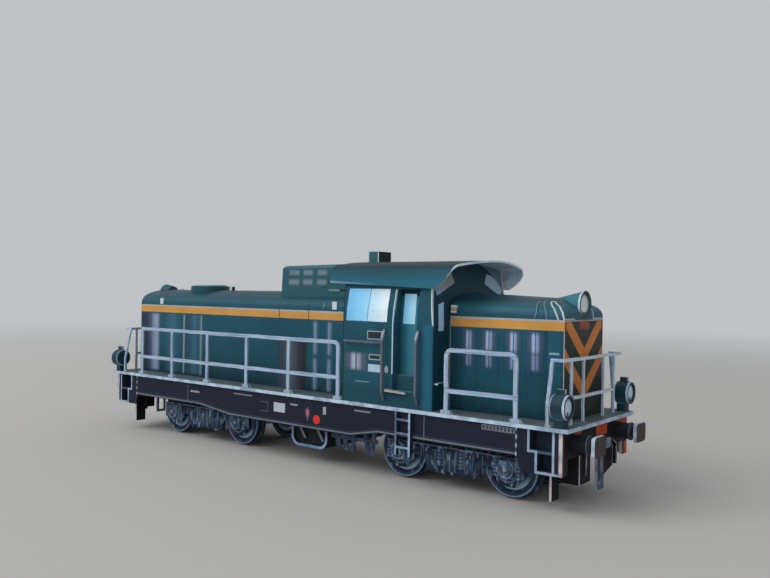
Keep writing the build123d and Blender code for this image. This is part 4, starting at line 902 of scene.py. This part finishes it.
# Lamps: rolled card tubes closed by a printed disc. The disc's edge is bare paper all round,
# and its print is a pale lens inside a dark ring.
lamps = (
    # node, body, side of the centre line, z, lens radius, rim radius, x where the disc begins
    ("top_lamp_front", "#38707F", 0.0, 40.5, 2.4, 2.85, 69.95),
    ("top_lamp_rear", "#24505E", 0.0, 41.0, 2.25, 2.7, 71.9),
    ("corner_lamps_front", "#213842", 15.6, 21.1, 1.95, 2.4, 74.05),
    ("corner_lamps_rear", "#213842", 15.6, 21.1, 1.95, 2.4, 74.05),
)
for name, body, y, z, lens, rim, disc_x in lamps:
    sheet = new_sheet("lamp_" + name)
    across = add(sheet.tree, "Math", {0: sheet.side, 1: y}, operation="SUBTRACT")
    up = add(sheet.tree, "Math", {0: sheet.z, 1: z}, operation="SUBTRACT")
    centred = add(sheet.tree, "CombineXYZ", {0: across, 1: up})
    radius = add(sheet.tree, "VectorMath", {0: centred}, operation="LENGTH").outputs["Value"]
    on_front = (sheet.outward, 0.8, 1.1)
    on_disc = (sheet.end, disc_x - 0.4, 80)
    pale = "#CDD3D6" if y == 0 else "#BED2E6"
    # Painted light: the lamp body is shaded by height, lighter underneath.
    colour = shade(sheet, body, up, (
        (-rim, "#4C8094", 0.7), (0.0, body, 0), (rim, "#34606E", 0.4),
    ), (sheet.on_x, *ASIDE))
    colour = shade(sheet, colour, radius, (
        (0.0, pale, 1), (lens * 0.6, pale, 1), (lens * 0.84, "#98A0A4", 1), (lens * 0.9, "#3D464C", 1),
        (rim + 0.1, "#2C3439", 1),
    ), on_front, on_disc)
    if y:
        colour = ink(sheet, colour, "#3A4048", (up, -1.9, -0.8), (across, -0.35, 0.35), on_front, on_disc)
        # Painted highlight: the top of the corner lamp's body is printed pale.
        colour = ink(sheet, colour, "#93A5B2", (up, rim + 0.1, 4), (sheet.on_y, *ASIDE))
        colour = ink(sheet, colour, "#7F97A6", (sheet.end, disc_x - 2.7, disc_x - 2.4),
                     (radius, rim - 0.3, rim + 0.3))
    cut = inside(sheet, ((sheet.end, disc_x, 80), (sheet.on_x, *ASIDE), (radius, rim - 0.2, rim + 0.3)))
    dress(finish(sheet, colour, cut, 0.5, "#B6C8D8", "#9DB0C2"), name)

# Floor and light: a pale floor that fades into the grey of the room, so that no edge shows behind the model,
# a large soft window light from the left and above, and a weak one in front for the undersides.
ROOM_GREY = "#DADDE0"
ROOM_STRENGTH = 0.75
FLOOR_PALE = "#B9B7B4"
FLOOR_HALF = 9  # m
FADE_FROM = 0.12
FADE_TO = 0.9
floor_paint = bpy.data.materials.new("floor_paint")
floor_paint.use_nodes = True
tree = floor_paint.node_tree
tree.nodes["Principled BSDF"].inputs["Base Color"].default_value = linear(FLOOR_PALE)
tree.nodes["Principled BSDF"].inputs["Roughness"].default_value = 0.9
tree.nodes["Principled BSDF"].inputs["Specular IOR Level"].default_value = 0.0
from_model = add(tree, "VectorMath", {0: add(tree, "TexCoord", {}).outputs["Object"]}, operation="LENGTH")
far = add(tree, "MapRange", {0: from_model.outputs["Value"], 1: FADE_FROM, 2: FADE_TO, 3: 0.0, 4: 1.0},
          interpolation_type="SMOOTHSTEP")
glow = add(tree, "Emission", {0: ROOM_GREY, 1: ROOM_STRENGTH})
mixed = add(tree, "MixShader", {0: far, 1: tree.nodes["Principled BSDF"], 2: glow})
tree.links.new(mixed.outputs[0], tree.nodes["Material Output"].inputs["Surface"])
form = bmesh.new()
bmesh.ops.create_grid(form, x_segments=1, y_segments=1, size=FLOOR_HALF)
floor = lay_out(form, "floor", floor_paint)
floor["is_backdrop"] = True
lights = (
    # name, power in W, size in m, place in m
    ("window", 9, 0.9, (-0.55, -0.75, 0.85)),
    ("low_fill", 1.6, 0.6, (0.35, -0.9, 0.12)),
)
for name, energy, size, place in lights:
    light_data = bpy.data.lights.new(name, "AREA")
    light_data.energy = energy
    light_data.size = size
    light = bpy.data.objects.new(name, light_data)
    light.location = place
    light.rotation_euler = (Vector((0, 0, 0.02)) - light.location).to_track_quat("-Z", "Y").to_euler()
    bpy.context.collection.objects.link(light)
world = bpy.data.worlds.new("room")
world.use_nodes = True
world.node_tree.nodes["Background"].inputs[0].default_value = linear(ROOM_GREY)
world.node_tree.nodes["Background"].inputs[1].default_value = ROOM_STRENGTH
bpy.context.scene.world = world
low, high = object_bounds()
